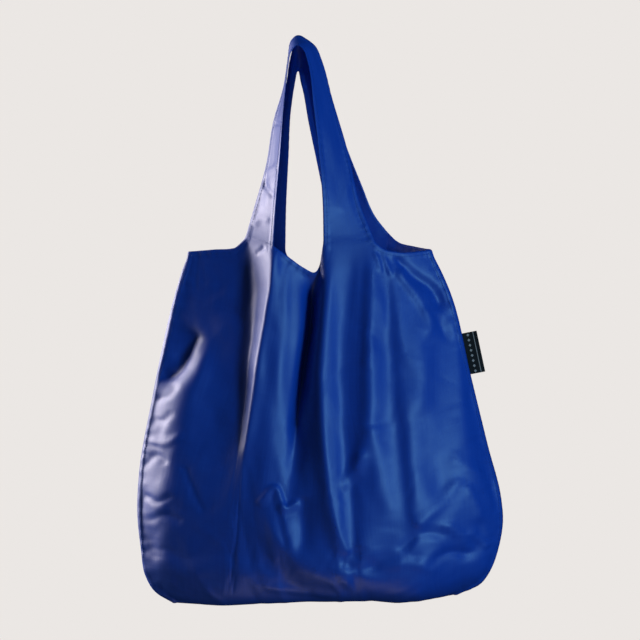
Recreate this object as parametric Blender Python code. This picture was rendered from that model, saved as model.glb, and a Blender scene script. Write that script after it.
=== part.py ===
"""A light nylon carrier bag, hanging by its two handle loops.

The bag is sewn from two panels of thin cloth, front and back. Each panel is cut in one
with its own handle loop, so a panel is a body with an arched band above it and a hand
gap in between. Side seams and a bottom seam join the panels, and a small woven tab is
caught in the side seam. The frame's origin is where the loops hang: +Z is up, the front
faces -Y, and the bag hangs below the origin.

Outlines are lists of (x, z) or (x, y, z) points on a drawing of the hanging bag, measured
from the hanging point in the drawing's units, and smooth curves run through them. The bag's
width, height and depth below give the size of a unit along each axis.
"""

import math

import bpy
import numpy as np
from mathutils import Vector

MM = 0.001

# The hanging bag's overall size, and the same three sizes on the drawing
BAG_WIDTH = 0.430
BAG_DEPTH = 0.160
BAG_HEIGHT = 0.668
DRAWN_UNITS_WIDE = 430
DRAWN_UNITS_DEEP = 160
DRAWN_UNITS_HIGH = 668

# Cloth and seams
CLOTH_THICKNESS = 0.0008
SEAM_GAP = 0.0006

# The rounded floor, where the panels turn in to the bottom seam
FLOOR_RADIUS = 0.050
FLOOR_SAG = 0.006
FLOOR_SQUARENESS = 2.6
FLOOR_SHARE = 0.09

# How much of the body's height the cut of the top edge still shapes
TOP_EASE = 0.16

# The straps, across their width
STRAP_CROWN = 0.0035
STRAP_CREASE = 0.0022
STRAP_CREASES = 9
STRAP_EASE = 0.12

# The woven tab in the right side seam
TAB_TOP_DROP = 0.3385
TAB_LENGTH = 0.0480
TAB_REACH = 0.0165
TAB_THICKNESS = 0.0010
TAB_CLEARANCE = 0.0003

# How finely each panel is divided
BAND_ROWS = 46
FLOOR_ROWS = 6
WALL_ROWS = 28
CURVE_STEPS = 200

# The side seams, from the shoulder corner down to the bottom corner
LEFT_SEAM = [(-147, -242), (-164, -300), (-189, -417), (-204, -503), (-206, -550),
             (-202, -590), (-197, -622), (-186, -641), (-167, -653)]
RIGHT_SEAM = [(139, -240), (162, -292), (185, -387), (205, -469), (221, -533),
              (223, -556), (218, -589), (210, -613), (197, -632), (172, -643)]
BOTTOM_SEAM = [(-167, -653), (-130, -654), (-65, -648), (8, -643), (98, -644),
               (146, -645), (172, -643)]

# Each panel's top edges: shoulder, handle root, mouth, handle root, shoulder
FRONT_TOP = {
    "left_shoulder": [(-147, 0, -242), (-120, -10, -240), (-91, -19, -238), (-78, -24, -226)],
    "mouth": [(-45, -48, -238), (-33, -46, -246), (-10, -40, -262), (2, -38, -267),
              (9, -40, -256), (12, -44, -232)],
    "right_shoulder": [(72, -32, -232), (80, -30, -239), (97, -24, -243), (139, 0, -240)],
}
BACK_TOP = {
    "left_shoulder": [(-147, 0, -242), (-118, 10, -239), (-88, 20, -235), (-73, 24, -222)],
    "mouth": [(-33, 46, -240), (-24, 42, -262), (-8, 40, -277), (4, 40, -275),
              (12, 44, -250)],
    "right_shoulder": [(88, 32, -217), (100, 29, -229), (119, 18, -235), (139, 0, -240)],
}

# Each handle loop's edges, from the left root over the hanging point to the right root
FRONT_LOOP_OUTER = [(-78, -24, -226), (-66, -17, -185), (-54, -12, -142), (-45, -9, -88),
                    (-34, -6, -50), (-28, -4, -11), (-25, -3, 6), (-18, -3, 12), (-8, -3, 7),
                    (3, -4, -2), (9, -5, -16), (22, -10, -64), (40, -18, -125),
                    (55, -27, -190), (72, -32, -232)]
FRONT_LOOP_INNER = [(-45, -48, -238), (-42, -50, -189), (-38, -47, -142), (-32, -41, -64),
                    (-28, -36, -28), (-24, -32, -10), (-18, -29, -3), (-12, -29, -8),
                    (-7, -31, -22), (0, -38, -73), (6, -43, -126), (11, -47, -185),
                    (12, -44, -232)]
BACK_LOOP_OUTER = [(-73, 24, -222), (-60, 18, -185), (-50, 13, -135), (-41, 9, -85),
                   (-30, 5, -40), (-26, 4, -14), (-19, 3, 4), (-8, 3, -1), (2, 4, -15),
                   (18, 9, -60), (40, 18, -119), (57, 25, -161), (74, 31, -199),
                   (88, 32, -217)]
BACK_LOOP_INNER = [(-33, 46, -240), (-32, 48, -189), (-29, 45, -127), (-25, 40, -64),
                   (-21, 36, -42), (-15, 32, -30), (-10, 36, -50), (-4, 42, -95),
                   (5, 46, -157), (10, 48, -200), (12, 44, -250)]

# The ridges and valleys down each panel, from left to right, as points down the line:
# across, how far the cloth stands out there, and height. After each panel's lines comes how
# many columns lie between a line and the one before it
FRONT_LINES = {
    "left_edge": [(-139, 3, -240), (-147, 4, -285), (-142, 8, -322), (-143, 9, -342),
                  (-152, 9, -364), (-168, 8, -380), (-181, 6, -398), (-188, 6, -430),
                  (-196, 8, -480), (-200, 8, -530), (-198, 7, -580), (-190, 8, -622),
                  (-163, 8, -652)],
    "left_flank": [(-130, 6, -240), (-137, 7, -285), (-134, 13, -322), (-132, 18, -342),
                   (-141, 22, -360), (-150, 27, -380), (-158, 31, -400), (-165, 34, -430),
                   (-169, 38, -480), (-178, 37, -530), (-180, 30, -580), (-174, 22, -622),
                   (-156, 16, -650)],
    "streak_foot": [(-78, 24, -226), (-67, 26, -285), (-69, 32, -330), (-75, 40, -380),
                    (-80, 47, -430), (-84, 54, -480), (-90, 60, -530), (-94, 62, -640)],
    "streak_crest": [(-45, 48, -238), (-49, 48, -285), (-57, 49, -330), (-65, 55, -380),
                     (-72, 59, -430), (-79, 62, -480), (-84, 64, -530), (-86, 62, -640)],
    "streak_hollow": [(-38, 47, -243), (-41, 43, -285), (-45, 43, -330), (-52, 47, -380),
                      (-59, 51, -430), (-66, 55, -480), (-72, 60, -530), (-74, 60, -640)],
    "mouth_ridge": [(-29, 45, -249), (-30, 46, -285), (-28, 49, -330), (-38, 55, -380),
                    (-46, 60, -430), (-53, 65, -480), (-61, 69, -530), (-62, 64, -640)],
    "valley_lip": [(-12, 41, -261), (-12, 41, -285), (-13, 45, -330), (-23, 51, -380),
                   (-29, 56, -430), (-33, 62, -480), (-40, 68, -530), (-42, 64, -640)],
    "valley": [(2, 38, -267), (-1, 26, -290), (-3, 26, -330), (-11, 33, -380),
               (-17, 42, -430), (-20, 53, -480), (-26, 66, -530), (-28, 64, -640)],
    "strap_ridge": [(12, 44, -232), (12, 46, -285), (10, 52, -330), (6, 60, -380),
                    (8, 67, -430), (12, 73, -480), (20, 79, -530), (22, 72, -640)],
    "strap_crest": [(24, 43, -232), (24, 50, -285), (22, 57, -330), (19, 65, -380),
                    (19, 72, -430), (22, 78, -480), (30, 81, -530), (32, 72, -640)],
    "strap_hollow": [(48, 38, -232), (44, 39, -285), (41, 45, -330), (39, 54, -380),
                     (39, 62, -430), (41, 69, -480), (46, 76, -530), (48, 70, -640)],
    "shoulder_ridge": [(72, 32, -232), (72, 43, -285), (71, 53, -330), (70, 62, -380),
                       (69, 70, -430), (64, 75, -480), (60, 79, -530), (62, 70, -640)],
    "shoulder_hollow": [(88, 27, -242), (89, 28, -285), (91, 36, -330), (93, 45, -380),
                        (97, 54, -430), (103, 63, -480), (105, 71, -530), (106, 66, -640)],
    "right_bulge": [(110, 17, -242), (113, 28, -285), (126, 35, -330), (135, 43, -380),
                    (131, 53, -430), (127, 62, -480), (125, 69, -530), (128, 60, -640)],
    "right_flank": [(132, 4, -241), (146, 8, -285), (156, 12, -330), (167, 20, -380),
                    (176, 27, -430), (182, 36, -480), (194, 34, -530), (202, 24, -580),
                    (192, 19, -622), (164, 16, -644)],
}
FRONT_COLUMNS = {
    "left_edge": 1, "left_flank": 1, "streak_foot": 4, "streak_crest": 5, "streak_hollow": 1,
    "mouth_ridge": 1, "valley_lip": 2, "valley": 2, "strap_ridge": 2, "strap_crest": 1,
    "strap_hollow": 2, "shoulder_ridge": 2, "shoulder_hollow": 1, "right_bulge": 2,
    "right_flank": 2, "right_seam": 2,
}
BACK_LINES = {
    "left_flank": [(-132, 5, -240), (-141, 8, -285), (-150, 12, -330), (-161, 19, -380),
                   (-169, 28, -430), (-175, 36, -480), (-184, 33, -530), (-189, 24, -580),
                   (-180, 18, -622), (-158, 16, -650)],
    "left_hollow": [(-104, 14, -238), (-108, 18, -285), (-112, 24, -330), (-120, 33, -380),
                    (-126, 43, -430), (-130, 53, -480), (-134, 58, -530), (-136, 54, -640)],
    "strap_foot": [(-73, 24, -222), (-72, 28, -285), (-76, 34, -330), (-84, 42, -380),
                   (-92, 50, -430), (-98, 58, -480), (-102, 64, -530), (-104, 58, -640)],
    "strap_crest": [(-33, 46, -240), (-43, 46, -285), (-51, 50, -330), (-60, 56, -380),
                    (-69, 61, -430), (-77, 65, -480), (-83, 69, -530), (-85, 62, -640)],
    "mouth_ridge": [(-20, 42, -266), (-25, 42, -285), (-30, 45, -330), (-37, 51, -380),
                    (-43, 58, -430), (-48, 64, -480), (-52, 70, -530), (-54, 64, -640)],
    "valley": [(-2, 40, -277), (-5, 31, -300), (-7, 31, -330), (-11, 38, -380),
               (-13, 47, -430), (-12, 58, -480), (-8, 67, -530), (-8, 64, -640)],
    "right_root": [(12, 44, -250), (15, 45, -285), (15, 50, -330), (13, 57, -380),
                   (13, 64, -430), (17, 71, -480), (24, 76, -530), (26, 68, -640)],
    "right_hollow": [(58, 37, -230), (56, 39, -285), (55, 44, -330), (56, 51, -380),
                     (57, 59, -430), (59, 66, -480), (62, 72, -530), (64, 66, -640)],
    "shoulder_ridge": [(88, 32, -217), (90, 37, -285), (92, 44, -330), (94, 52, -380),
                       (97, 60, -430), (101, 67, -480), (106, 71, -530), (108, 64, -640)],
    "shoulder_hollow": [(112, 20, -233), (120, 23, -285), (126, 29, -330), (132, 37, -380),
                        (138, 45, -430), (144, 52, -480), (152, 57, -530), (150, 50, -640)],
    "right_flank": [(132, 4, -239), (147, 9, -285), (158, 14, -330), (168, 21, -380),
                    (178, 28, -430), (184, 36, -480), (195, 34, -530), (202, 24, -580),
                    (192, 19, -622), (164, 16, -644)],
}
BACK_COLUMNS = {
    "left_flank": 2, "left_hollow": 2, "strap_foot": 2, "strap_crest": 5, "mouth_ridge": 2,
    "valley": 2, "right_root": 2, "right_hollow": 3, "shoulder_ridge": 2, "shoulder_hollow": 2,
    "right_flank": 2, "right_seam": 2,
}

STRAP_COLUMNS = FRONT_COLUMNS["streak_crest"]

# Crumples low on the bag: a path, how far the cloth stands out there (a dent is negative),
# and how wide it is, the last two in millimetres
FRONT_CRUMPLES = [
    ("zigzag", [(-62, -534), (-43, -515), (-31, -536), (-15, -528)], 5, 9),
    ("zigzag_tail", [(-15, -528), (-14, -560), (-15, -598)], 6, 10),
    ("low_dent", [(-62, -540), (-40, -570), (-15, -600), (38, -628)], -7, 11),
    ("shoulder_dent", [(92, -250), (118, -270), (148, -305)], -5, 12),
    ("low_lip", [(40, -606), (90, -618), (140, -622), (180, -616)], 4, 12),
    ("corner_dent", [(140, -596), (168, -584), (205, -592)], -4, 10),
]
BACK_CRUMPLES = [
    ("low_dent", [(-130, -560), (-60, -598), (10, -612)], -5, 11),
    ("low_lip", [(-70, -530), (0, -560), (80, -578)], 4, 12),
    ("corner_dent", [(60, -600), (120, -590), (170, -602)], -4, 11),
]
CRUMPLE_STEPS = 24
CRUMPLE_START = 0.15
CRUMPLE_END = 0.25


def clear_scene():
    for item in list(bpy.data.objects):
        bpy.data.objects.remove(item, do_unlink=True)


def finish(name, colour, roughness, sheen=0.0):
    """A Principled material with the part's own colour and roughness."""
    material = bpy.data.materials.new(name)
    material.use_nodes = True
    shader = material.node_tree.nodes["Principled BSDF"]
    shader.inputs["Base Color"].default_value = (*colour, 1.0)
    shader.inputs["Roughness"].default_value = roughness
    shader.inputs["Metallic"].default_value = 0.0
    shader.inputs["Sheen Weight"].default_value = sheen
    material.diffuse_color = (*colour, 1.0)
    return material


def real_size(points):
    """Drawn (x, z) or (x, y, z) points in metres."""
    unit = np.array([BAG_WIDTH / DRAWN_UNITS_WIDE, BAG_DEPTH / DRAWN_UNITS_DEEP,
                     BAG_HEIGHT / DRAWN_UNITS_HIGH])
    points = np.array(points, float)
    return points * (unit if points.shape[-1] == 3 else unit[[0, 2]])


def curve_through(points, stations):
    """Points along a smooth curve through an outline's drawn points.

    The stations run from 0 to 1 along the chord length.
    """
    p = real_size(points)
    chord = np.linalg.norm(np.diff(p, axis=0), axis=1)
    knots = np.concatenate([[0.0], np.cumsum(chord)]) / chord.sum()
    slope = np.gradient(p, knots, axis=0)
    at = np.clip(stations, 0.0, 1.0)
    i = np.clip(np.searchsorted(knots, at, side="right") - 1, 0, len(knots) - 2)
    span = (knots[i + 1] - knots[i])[:, None]
    t = (at - knots[i])[:, None] / span
    h00 = 2 * t**3 - 3 * t**2 + 1
    h10 = t**3 - 2 * t**2 + t
    h01 = -2 * t**3 + 3 * t**2
    h11 = t**3 - t**2
    return h00 * p[i] + h10 * span * slope[i] + h01 * p[i + 1] + h11 * span * slope[i + 1]


def smooth_step(low, high, value):
    t = np.clip((value - low) / (high - low), 0.0, 1.0)
    return t * t * (3 - 2 * t)


def crumple_relief(x, z, crumples):
    """How far the crumples push the cloth outwards at each point, in metres."""
    relief = np.zeros_like(x)
    for _, path, height, width in crumples:
        line = curve_through(path, np.linspace(0, 1, CRUMPLE_STEPS))
        best = np.full(x.shape, np.inf)
        along = np.zeros_like(x)
        for k in range(len(line) - 1):
            (ax, az), (bx, bz) = line[k], line[k + 1]
            length = math.hypot(bx - ax, bz - az)
            t = np.clip(((x - ax) * (bx - ax) + (z - az) * (bz - az)) / length**2, 0, 1)
            away = np.hypot(x - ax - t * (bx - ax), z - az - t * (bz - az))
            nearer = away < best
            best = np.where(nearer, away, best)
            along = np.where(nearer, (k + t) / (len(line) - 1), along)
        ends = smooth_step(0, CRUMPLE_START, along) * (1 - smooth_step(1 - CRUMPLE_END, 1, along))
        relief += height * MM * ends * np.exp(-((best / (width * MM)) ** 2))
    return relief


def across_and_depth(line, z):
    """Where a line is across the panel, and how deep, at each height."""
    p = real_size(line)
    drop = -p[:, 2]
    slope = np.gradient(p[:, :2], drop, axis=0)
    at = np.clip(-z, drop[0], drop[-1])
    i = np.clip(np.searchsorted(drop, at, side="right") - 1, 0, len(drop) - 2)
    span = (drop[i + 1] - drop[i])[:, None]
    t = (at - drop[i])[:, None] / span
    return (p[i, :2] * (2 * t**3 - 3 * t**2 + 1) + p[i + 1, :2] * (3 * t**2 - 2 * t**3)
            + span * (slope[i] * (t**3 - 2 * t**2 + t) + slope[i + 1] * (t**3 - t**2)))


def seam_line(seam, w):
    """A side seam as rows of across, depth and height, from its low end to its corner."""
    curve = curve_through(seam, np.linspace(0, 1, CURVE_STEPS))
    z = curve[-1, 1] + (curve[0, 1] - curve[-1, 1]) * w
    x = np.interp(-z, -curve[:, 1], curve[:, 0])
    return np.stack([x, np.zeros_like(x), z], axis=1)


def fold_line(line, w, bottom):
    """A ridge or valley as rows of across, depth and height, from the bottom seam up."""
    ends = real_size(line)
    low = np.interp(ends[-1, 0], bottom[:, 0], bottom[:, 1])
    z = low + (ends[0, 2] - low) * w
    return np.concatenate([across_and_depth(line, z), z[:, None]], axis=1)


def top_edge(top, outer, inner, x, root_left, root_right):
    """The top row of points: shoulder, handle root, mouth, handle root, shoulder."""
    row = np.zeros((len(x), 3))
    row[:, 0] = x
    inner_left = root_left + STRAP_COLUMNS
    outer_right = root_right + STRAP_COLUMNS
    stretches = (("left_shoulder", 0, root_left), ("mouth", inner_left, root_right),
                 ("right_shoulder", outer_right, len(x) - 1))
    for name, start, end in stretches:
        curve = curve_through(top[name], np.linspace(0, 1, CURVE_STEPS))
        for axis in (1, 2):
            row[start:end + 1, axis] = np.interp(x[start:end + 1], curve[:, 0], curve[:, axis])
    across = np.linspace(0, 1, STRAP_COLUMNS + 1)[:, None]
    row[root_left:inner_left + 1] = outer[0] + (inner[0] - outer[0]) * across
    row[root_right:outer_right + 1] = inner[-1] + (outer[-1] - inner[-1]) * across
    return row


def body_points(top, outer, inner, side, lines, column_counts, roots, crumples):
    """The panel's body as rows of points from the bottom seam up to its top edge."""
    floor = np.linspace(0, 1, FLOOR_ROWS, endpoint=False)
    wall = np.linspace(0, 1, WALL_ROWS + 1)
    bend = np.concatenate([floor, np.ones(WALL_ROWS + 1)]) * math.pi / 2
    power = 2 / FLOOR_SQUARENESS
    reach = np.sin(bend) ** power
    lift = 1 - np.maximum(np.cos(bend), 0.0) ** power
    floor_height = FLOOR_RADIUS * lift
    body_height = real_size(LEFT_SEAM[0])[1] - real_size(BOTTOM_SEAM[0])[1]
    wall_height = np.concatenate([np.zeros(FLOOR_ROWS), wall]) * (body_height - FLOOR_RADIUS)
    w = (floor_height + wall_height) / body_height

    bottom = curve_through(BOTTOM_SEAM, np.linspace(0, 1, CURVE_STEPS))
    steps = list(column_counts.values())
    rails = [seam_line(LEFT_SEAM, w)]
    rails += [fold_line(line, w, bottom) for line in lines.values()]
    rails += [seam_line(RIGHT_SEAM, w)]
    columns = [rails[0]]
    for count, low, high in zip(steps, rails, rails[1:]):
        for step in range(1, count + 1):
            columns.append(low + (high - low) * step / count)
    grid = np.stack(columns, axis=1)

    names = list(lines)
    root_left = sum(steps[:names.index(roots[0]) + 1])
    root_right = sum(steps[:names.index(roots[1]) + 1])
    top_row = top_edge(top, outer, inner, grid[-1, :, 0], root_left, root_right)
    seam_z = np.interp(grid[0, :, 0], bottom[:, 0], bottom[:, 1])
    at_bottom = (1 - smooth_step(0, FLOOR_SHARE, w))[:, None]
    at_top = smooth_step(1 - TOP_EASE, 1, w)[:, None]

    x = grid[:, :, 0] + at_top * (top_row[:, 0] - grid[-1, :, 0])
    z = grid[:, :, 2] + at_top * (top_row[:, 2] - grid[-1, :, 2])
    z = z + at_bottom * (seam_z - grid[0, :, 2])
    fullness = grid[:, :, 1] / grid[:, :, 1].max()
    z = z - FLOOR_SAG * np.sin(math.pi * reach)[:, None] * fullness
    relief = crumple_relief(x, z, crumples) * (fullness > 0)
    depth = (grid[:, :, 1] + relief) * reach[:, None]
    depth = depth + at_top * (side * top_row[:, 1] - depth[-1])
    depth = np.maximum(depth, 0.0)
    body = np.stack([x, side * (SEAM_GAP / 2 + depth), z], axis=2)
    return body, root_left, root_right


def band_points(outer, inner, side):
    """The handle loop as rows across the band, from the left root to the right root."""
    across = np.linspace(0, 1, STRAP_COLUMNS + 1)[None, :, None]
    rows = outer[:, None, :] * (1 - across) + inner[:, None, :] * across
    run = np.linspace(0, 1, len(outer))[:, None]
    away = smooth_step(0, STRAP_EASE, run) * (1 - smooth_step(1 - STRAP_EASE, 1, run))
    crown = STRAP_CROWN * np.sin(math.pi * across[:, :, 0])
    waves = np.sin(3 * math.pi * across[:, :, 0]) * np.cos(STRAP_CREASES * math.pi * run)
    crease = STRAP_CREASE * waves
    rows[:, :, 1] += side * away * (crown + crease)
    return rows


def cloth_panel(name, side, top, loops, lines, column_counts, roots, crumples, material):
    """One panel of cloth with its handle loop, as a thin shell."""
    stations = np.linspace(0, 1, BAND_ROWS + 1)
    outer = curve_through(loops[0], stations)
    inner = curve_through(loops[1], stations)
    for edge in (outer, inner):
        edge[:, 1] += side * SEAM_GAP / 2
    body, left_root, right_root = body_points(top, outer, inner, side, lines, column_counts,
                                              roots, crumples)
    band = band_points(outer, inner, side)

    points = [Vector(p) for p in body.reshape(-1, 3)]
    columns = body.shape[1]
    top_start = (body.shape[0] - 1) * columns
    faces = []
    for r in range(body.shape[0] - 1):
        for c in range(columns - 1):
            a = r * columns + c
            faces.append((a, a + 1, a + columns + 1, a + columns))

    rows = [[top_start + left_root + c for c in range(STRAP_COLUMNS + 1)]]
    for r in range(1, BAND_ROWS):
        rows.append([len(points) + c for c in range(STRAP_COLUMNS + 1)])
        points += [Vector(p) for p in band[r]]
    right_end = top_start + right_root + STRAP_COLUMNS
    rows.append([right_end - c for c in range(STRAP_COLUMNS + 1)])
    for low, high in zip(rows, rows[1:]):
        for c in range(STRAP_COLUMNS):
            faces.append((low[c], low[c + 1], high[c + 1], high[c]))
    if side > 0:
        faces = [tuple(reversed(face)) for face in faces]

    mesh = bpy.data.meshes.new(name)
    mesh.from_pydata(points, [], faces)
    mesh.validate()
    mesh.shade_smooth()
    panel = bpy.data.objects.new(name, mesh)
    bpy.context.collection.objects.link(panel)
    mesh.materials.append(material)
    shell = panel.modifiers.new("cloth_thickness", "SOLIDIFY")
    shell.thickness = CLOTH_THICKNESS
    shell.offset = 1.0
    shell.use_even_offset = False
    return panel


def seam_tab(name, material):
    """The folded woven tab that stands out of the right side seam."""
    seam = curve_through(RIGHT_SEAM, np.linspace(0, 1, 200))
    ends = []
    for depth in (TAB_TOP_DROP, TAB_TOP_DROP + TAB_LENGTH):
        ends.append(Vector((np.interp(depth, -seam[:, 1], seam[:, 0]), 0.0, -depth)))
    down = (ends[1] - ends[0]).normalized()
    out = Vector((-down.z, 0.0, down.x))
    drop = -seam[:, 1]
    beside = seam[(drop > TAB_TOP_DROP) & (drop < TAB_TOP_DROP + TAB_LENGTH)]
    bulge = max((Vector((x, 0.0, z)) - ends[0]).dot(out) for x, z in beside)
    near = out * (max(bulge, 0.0) + CLOTH_THICKNESS + TAB_CLEARANCE)
    far = near + out * TAB_REACH
    half = Vector((0.0, TAB_THICKNESS / 2, 0.0))
    corners = [ends[0] + near, ends[1] + near, ends[1] + far, ends[0] + far]
    points = [p - half for p in corners] + [p + half for p in corners]
    faces = [(0, 1, 2, 3), (7, 6, 5, 4), (0, 4, 5, 1), (1, 5, 6, 2), (2, 6, 7, 3), (3, 7, 4, 0)]
    mesh = bpy.data.meshes.new(name)
    mesh.from_pydata(points, [], faces)
    tab = bpy.data.objects.new(name, mesh)
    bpy.context.collection.objects.link(tab)
    mesh.materials.append(material)
    return tab


def build():
    clear_scene()
    front_cloth = finish("front_cloth", (0.012, 0.055, 0.290), 0.42, sheen=0.3)
    back_cloth = finish("back_cloth", (0.011, 0.050, 0.270), 0.42, sheen=0.3)
    tab_weave = finish("tab_weave", (0.012, 0.012, 0.013), 0.8)
    cloth_panel("front_panel", -1, FRONT_TOP, (FRONT_LOOP_OUTER, FRONT_LOOP_INNER),
                FRONT_LINES, FRONT_COLUMNS, ("streak_foot", "strap_ridge"),
                FRONT_CRUMPLES, front_cloth)
    cloth_panel("back_panel", 1, BACK_TOP, (BACK_LOOP_OUTER, BACK_LOOP_INNER),
                BACK_LINES, BACK_COLUMNS, ("strap_foot", "right_root"),
                BACK_CRUMPLES, back_cloth)
    seam_tab("side_tab", tab_weave)


build()
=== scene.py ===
# %% [markdown]
# # A light nylon shopping bag, hanging by its loops
# The bag is two panels of thin satiny cloth, sewn at the sides and along the bottom. Each
# panel runs on upwards into its own handle loop. This lesson makes both panels as finely
# creased sheets, sews them with visible thread, gives the cloth a woven finish and lights
# it softly from both sides, so that the folds can be read.

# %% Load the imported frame
import math

import bpy
import bmesh
import numpy as np
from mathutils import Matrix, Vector
from mathutils.bvhtree import BVHTree
from mathutils.kdtree import KDTree


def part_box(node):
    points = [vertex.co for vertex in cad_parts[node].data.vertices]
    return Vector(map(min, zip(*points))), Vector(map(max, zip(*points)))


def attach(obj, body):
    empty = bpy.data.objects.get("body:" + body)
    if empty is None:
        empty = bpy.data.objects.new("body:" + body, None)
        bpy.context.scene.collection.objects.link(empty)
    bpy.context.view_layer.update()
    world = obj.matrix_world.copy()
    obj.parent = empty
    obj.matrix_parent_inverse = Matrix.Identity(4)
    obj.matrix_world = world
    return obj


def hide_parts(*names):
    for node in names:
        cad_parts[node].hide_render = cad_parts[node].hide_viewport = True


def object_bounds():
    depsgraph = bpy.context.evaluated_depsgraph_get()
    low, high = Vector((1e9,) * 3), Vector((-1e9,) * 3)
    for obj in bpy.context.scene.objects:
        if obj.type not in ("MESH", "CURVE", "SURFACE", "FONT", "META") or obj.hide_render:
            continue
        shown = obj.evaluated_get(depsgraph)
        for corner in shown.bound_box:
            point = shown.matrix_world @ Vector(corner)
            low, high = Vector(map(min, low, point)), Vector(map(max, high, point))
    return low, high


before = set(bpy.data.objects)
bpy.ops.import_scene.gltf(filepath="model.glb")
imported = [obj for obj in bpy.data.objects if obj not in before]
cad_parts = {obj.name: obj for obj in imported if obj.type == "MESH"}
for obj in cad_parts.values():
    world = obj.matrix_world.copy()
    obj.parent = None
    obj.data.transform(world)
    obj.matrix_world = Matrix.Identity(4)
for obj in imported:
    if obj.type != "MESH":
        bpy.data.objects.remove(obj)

MM = 0.001
CAD_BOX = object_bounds()
TAB_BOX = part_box("side_tab")
print("bag box", [round(v, 3) for corner in CAD_BOX for v in corner])

# %% [markdown]
# ## Smooth curves through a few points
# Every outline of the bag is a short list of places in millimetres, measured from the
# hanging point. A cubic curve through them keeps the list short and the edge smooth. A
# Bezier object would do the same, but points from a plain function can be mixed freely
# with the maths of the folds.

# %% Curves
CURVE_STEPS = 200


def curve_through(points, stations):
    """Points along a smooth curve through the outline's points, at stations from 0 to 1."""
    p = np.array(points, float) * MM
    if p.ndim == 1:
        p = p[:, None]
    chord = np.linalg.norm(np.diff(p[:, :3], axis=0), axis=1)
    knots = np.concatenate([[0.0], np.cumsum(chord)]) / chord.sum()
    slope = np.gradient(p, knots, axis=0)
    at = np.clip(stations, 0.0, 1.0)
    i = np.clip(np.searchsorted(knots, at, side="right") - 1, 0, len(knots) - 2)
    span = (knots[i + 1] - knots[i])[:, None]
    t = (at - knots[i])[:, None] / span
    h00 = 2 * t**3 - 3 * t**2 + 1
    h10 = t**3 - 2 * t**2 + t
    h01 = -2 * t**3 + 3 * t**2
    h11 = t**3 - t**2
    return h00 * p[i] + h10 * span * slope[i] + h01 * p[i + 1] + h11 * span * slope[i + 1]


def smooth_step(low, high, value):
    """A smooth rise from 0 to 1 between two limits."""
    t = np.clip((value - low) / (high - low), 0.0, 1.0)
    return t * t * (3 - 2 * t)


print("an outline is followed in", CURVE_STEPS, "steps")

# %% [markdown]
# ## The outlines of the two panels
# The side seams and the bottom seam are shared. Each panel has its own shoulders, mouth
# and handle loop, because the back loop hangs a little to the right of the front one.

# %% Outlines, in millimetres from the hanging point
LEFT_SEAM = [
    (-147, -242), (-164, -300), (-189, -417), (-204, -503), (-206, -550), (-202, -590),
    (-197, -622), (-186, -641), (-167, -653)]
RIGHT_SEAM = [
    (139, -240), (162, -292), (185, -387), (205, -469), (221, -533), (223, -556), (218, -589),
    (210, -613), (197, -632), (172, -643)]
BOTTOM_SEAM = [
    (-167, -653), (-130, -654), (-65, -648), (8, -643), (98, -644), (146, -645), (172, -643)]

FRONT_TOP = {
    "left_shoulder": [(-147, 0, -242), (-120, -8, -240), (-91, -14, -238), (-78, -17, -226)],
    "mouth": [(-45, -48, -238), (-33, -46, -246), (-10, -40, -262), (2, -38, -267), (9, -40, -256),
        (12, -44, -232)],
    "right_shoulder": [(72, -32, -232), (80, -30, -239), (97, -24, -243), (139, 0, -240)],
}
BACK_TOP = {
    "left_shoulder": [(-147, 0, -242), (-118, 10, -239), (-88, 20, -235), (-73, 24, -222)],
    "mouth": [(-33, 46, -240), (-24, 42, -262), (-8, 40, -277), (4, 40, -275), (12, 44, -250)],
    "right_shoulder": [(88, 32, -217), (100, 29, -229), (119, 18, -235), (139, 0, -240)],
}
FRONT_LOOP_OUTER = [
    (-78, -17, -226), (-66, -15, -185), (-54, -12, -142), (-45, -9, -88), (-34, -6, -50),
    (-28, -4, -11), (-25, -3, 6), (-18, -3, 12), (-8, -3, 7), (3, -4, -2), (9, -5, -16),
    (22, -10, -64), (40, -18, -125), (55, -27, -190), (72, -32, -232)]
FRONT_LOOP_INNER = [
    (-45, -48, -238), (-42, -50, -189), (-38, -47, -142), (-32, -41, -64), (-28, -36, -28),
    (-24, -32, -10), (-18, -29, -3), (-12, -29, -8), (-7, -31, -22), (0, -38, -73), (6, -43, -126),
    (11, -47, -185), (12, -44, -232)]
BACK_LOOP_OUTER = [
    (-73, 24, -222), (-60, 18, -185), (-50, 13, -135), (-41, 9, -85), (-30, 5, -40), (-26, 4, -14),
    (-19, 3, 4), (-8, 3, -1), (2, 4, -15), (18, 9, -60), (40, 18, -119), (57, 25, -161),
    (74, 31, -199), (88, 32, -217)]
BACK_LOOP_INNER = [
    (-33, 46, -240), (-32, 48, -189), (-29, 45, -127), (-25, 40, -64), (-21, 36, -42),
    (-15, 32, -30), (-10, 36, -50), (-4, 42, -95), (5, 46, -157), (10, 48, -200), (12, 44, -250)]

SEAM_GAP = 0.0006
CLOTH_THICKNESS = 0.0005
SHELL_LIFT = 0.0003
FLOOR_RADIUS, FLOOR_SAG = 0.050, 0.006
FLOOR_SQUARENESS = 2.6
print("seams:", len(LEFT_SEAM), "places left,", len(RIGHT_SEAM), "right")

# %% [markdown]
# ## The form as lines down the cloth
# Thin nylon hangs in long ridges and valleys that start at the straps, the mouth and the
# shoulders, with nearly flat cloth between them. So the form is a loft: each ridge or valley
# is a line down the panel, given by how far across, how deep and how low it runs, and the
# cloth spans from line to line. Sculpting or pure simulation would put folds elsewhere.

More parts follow.
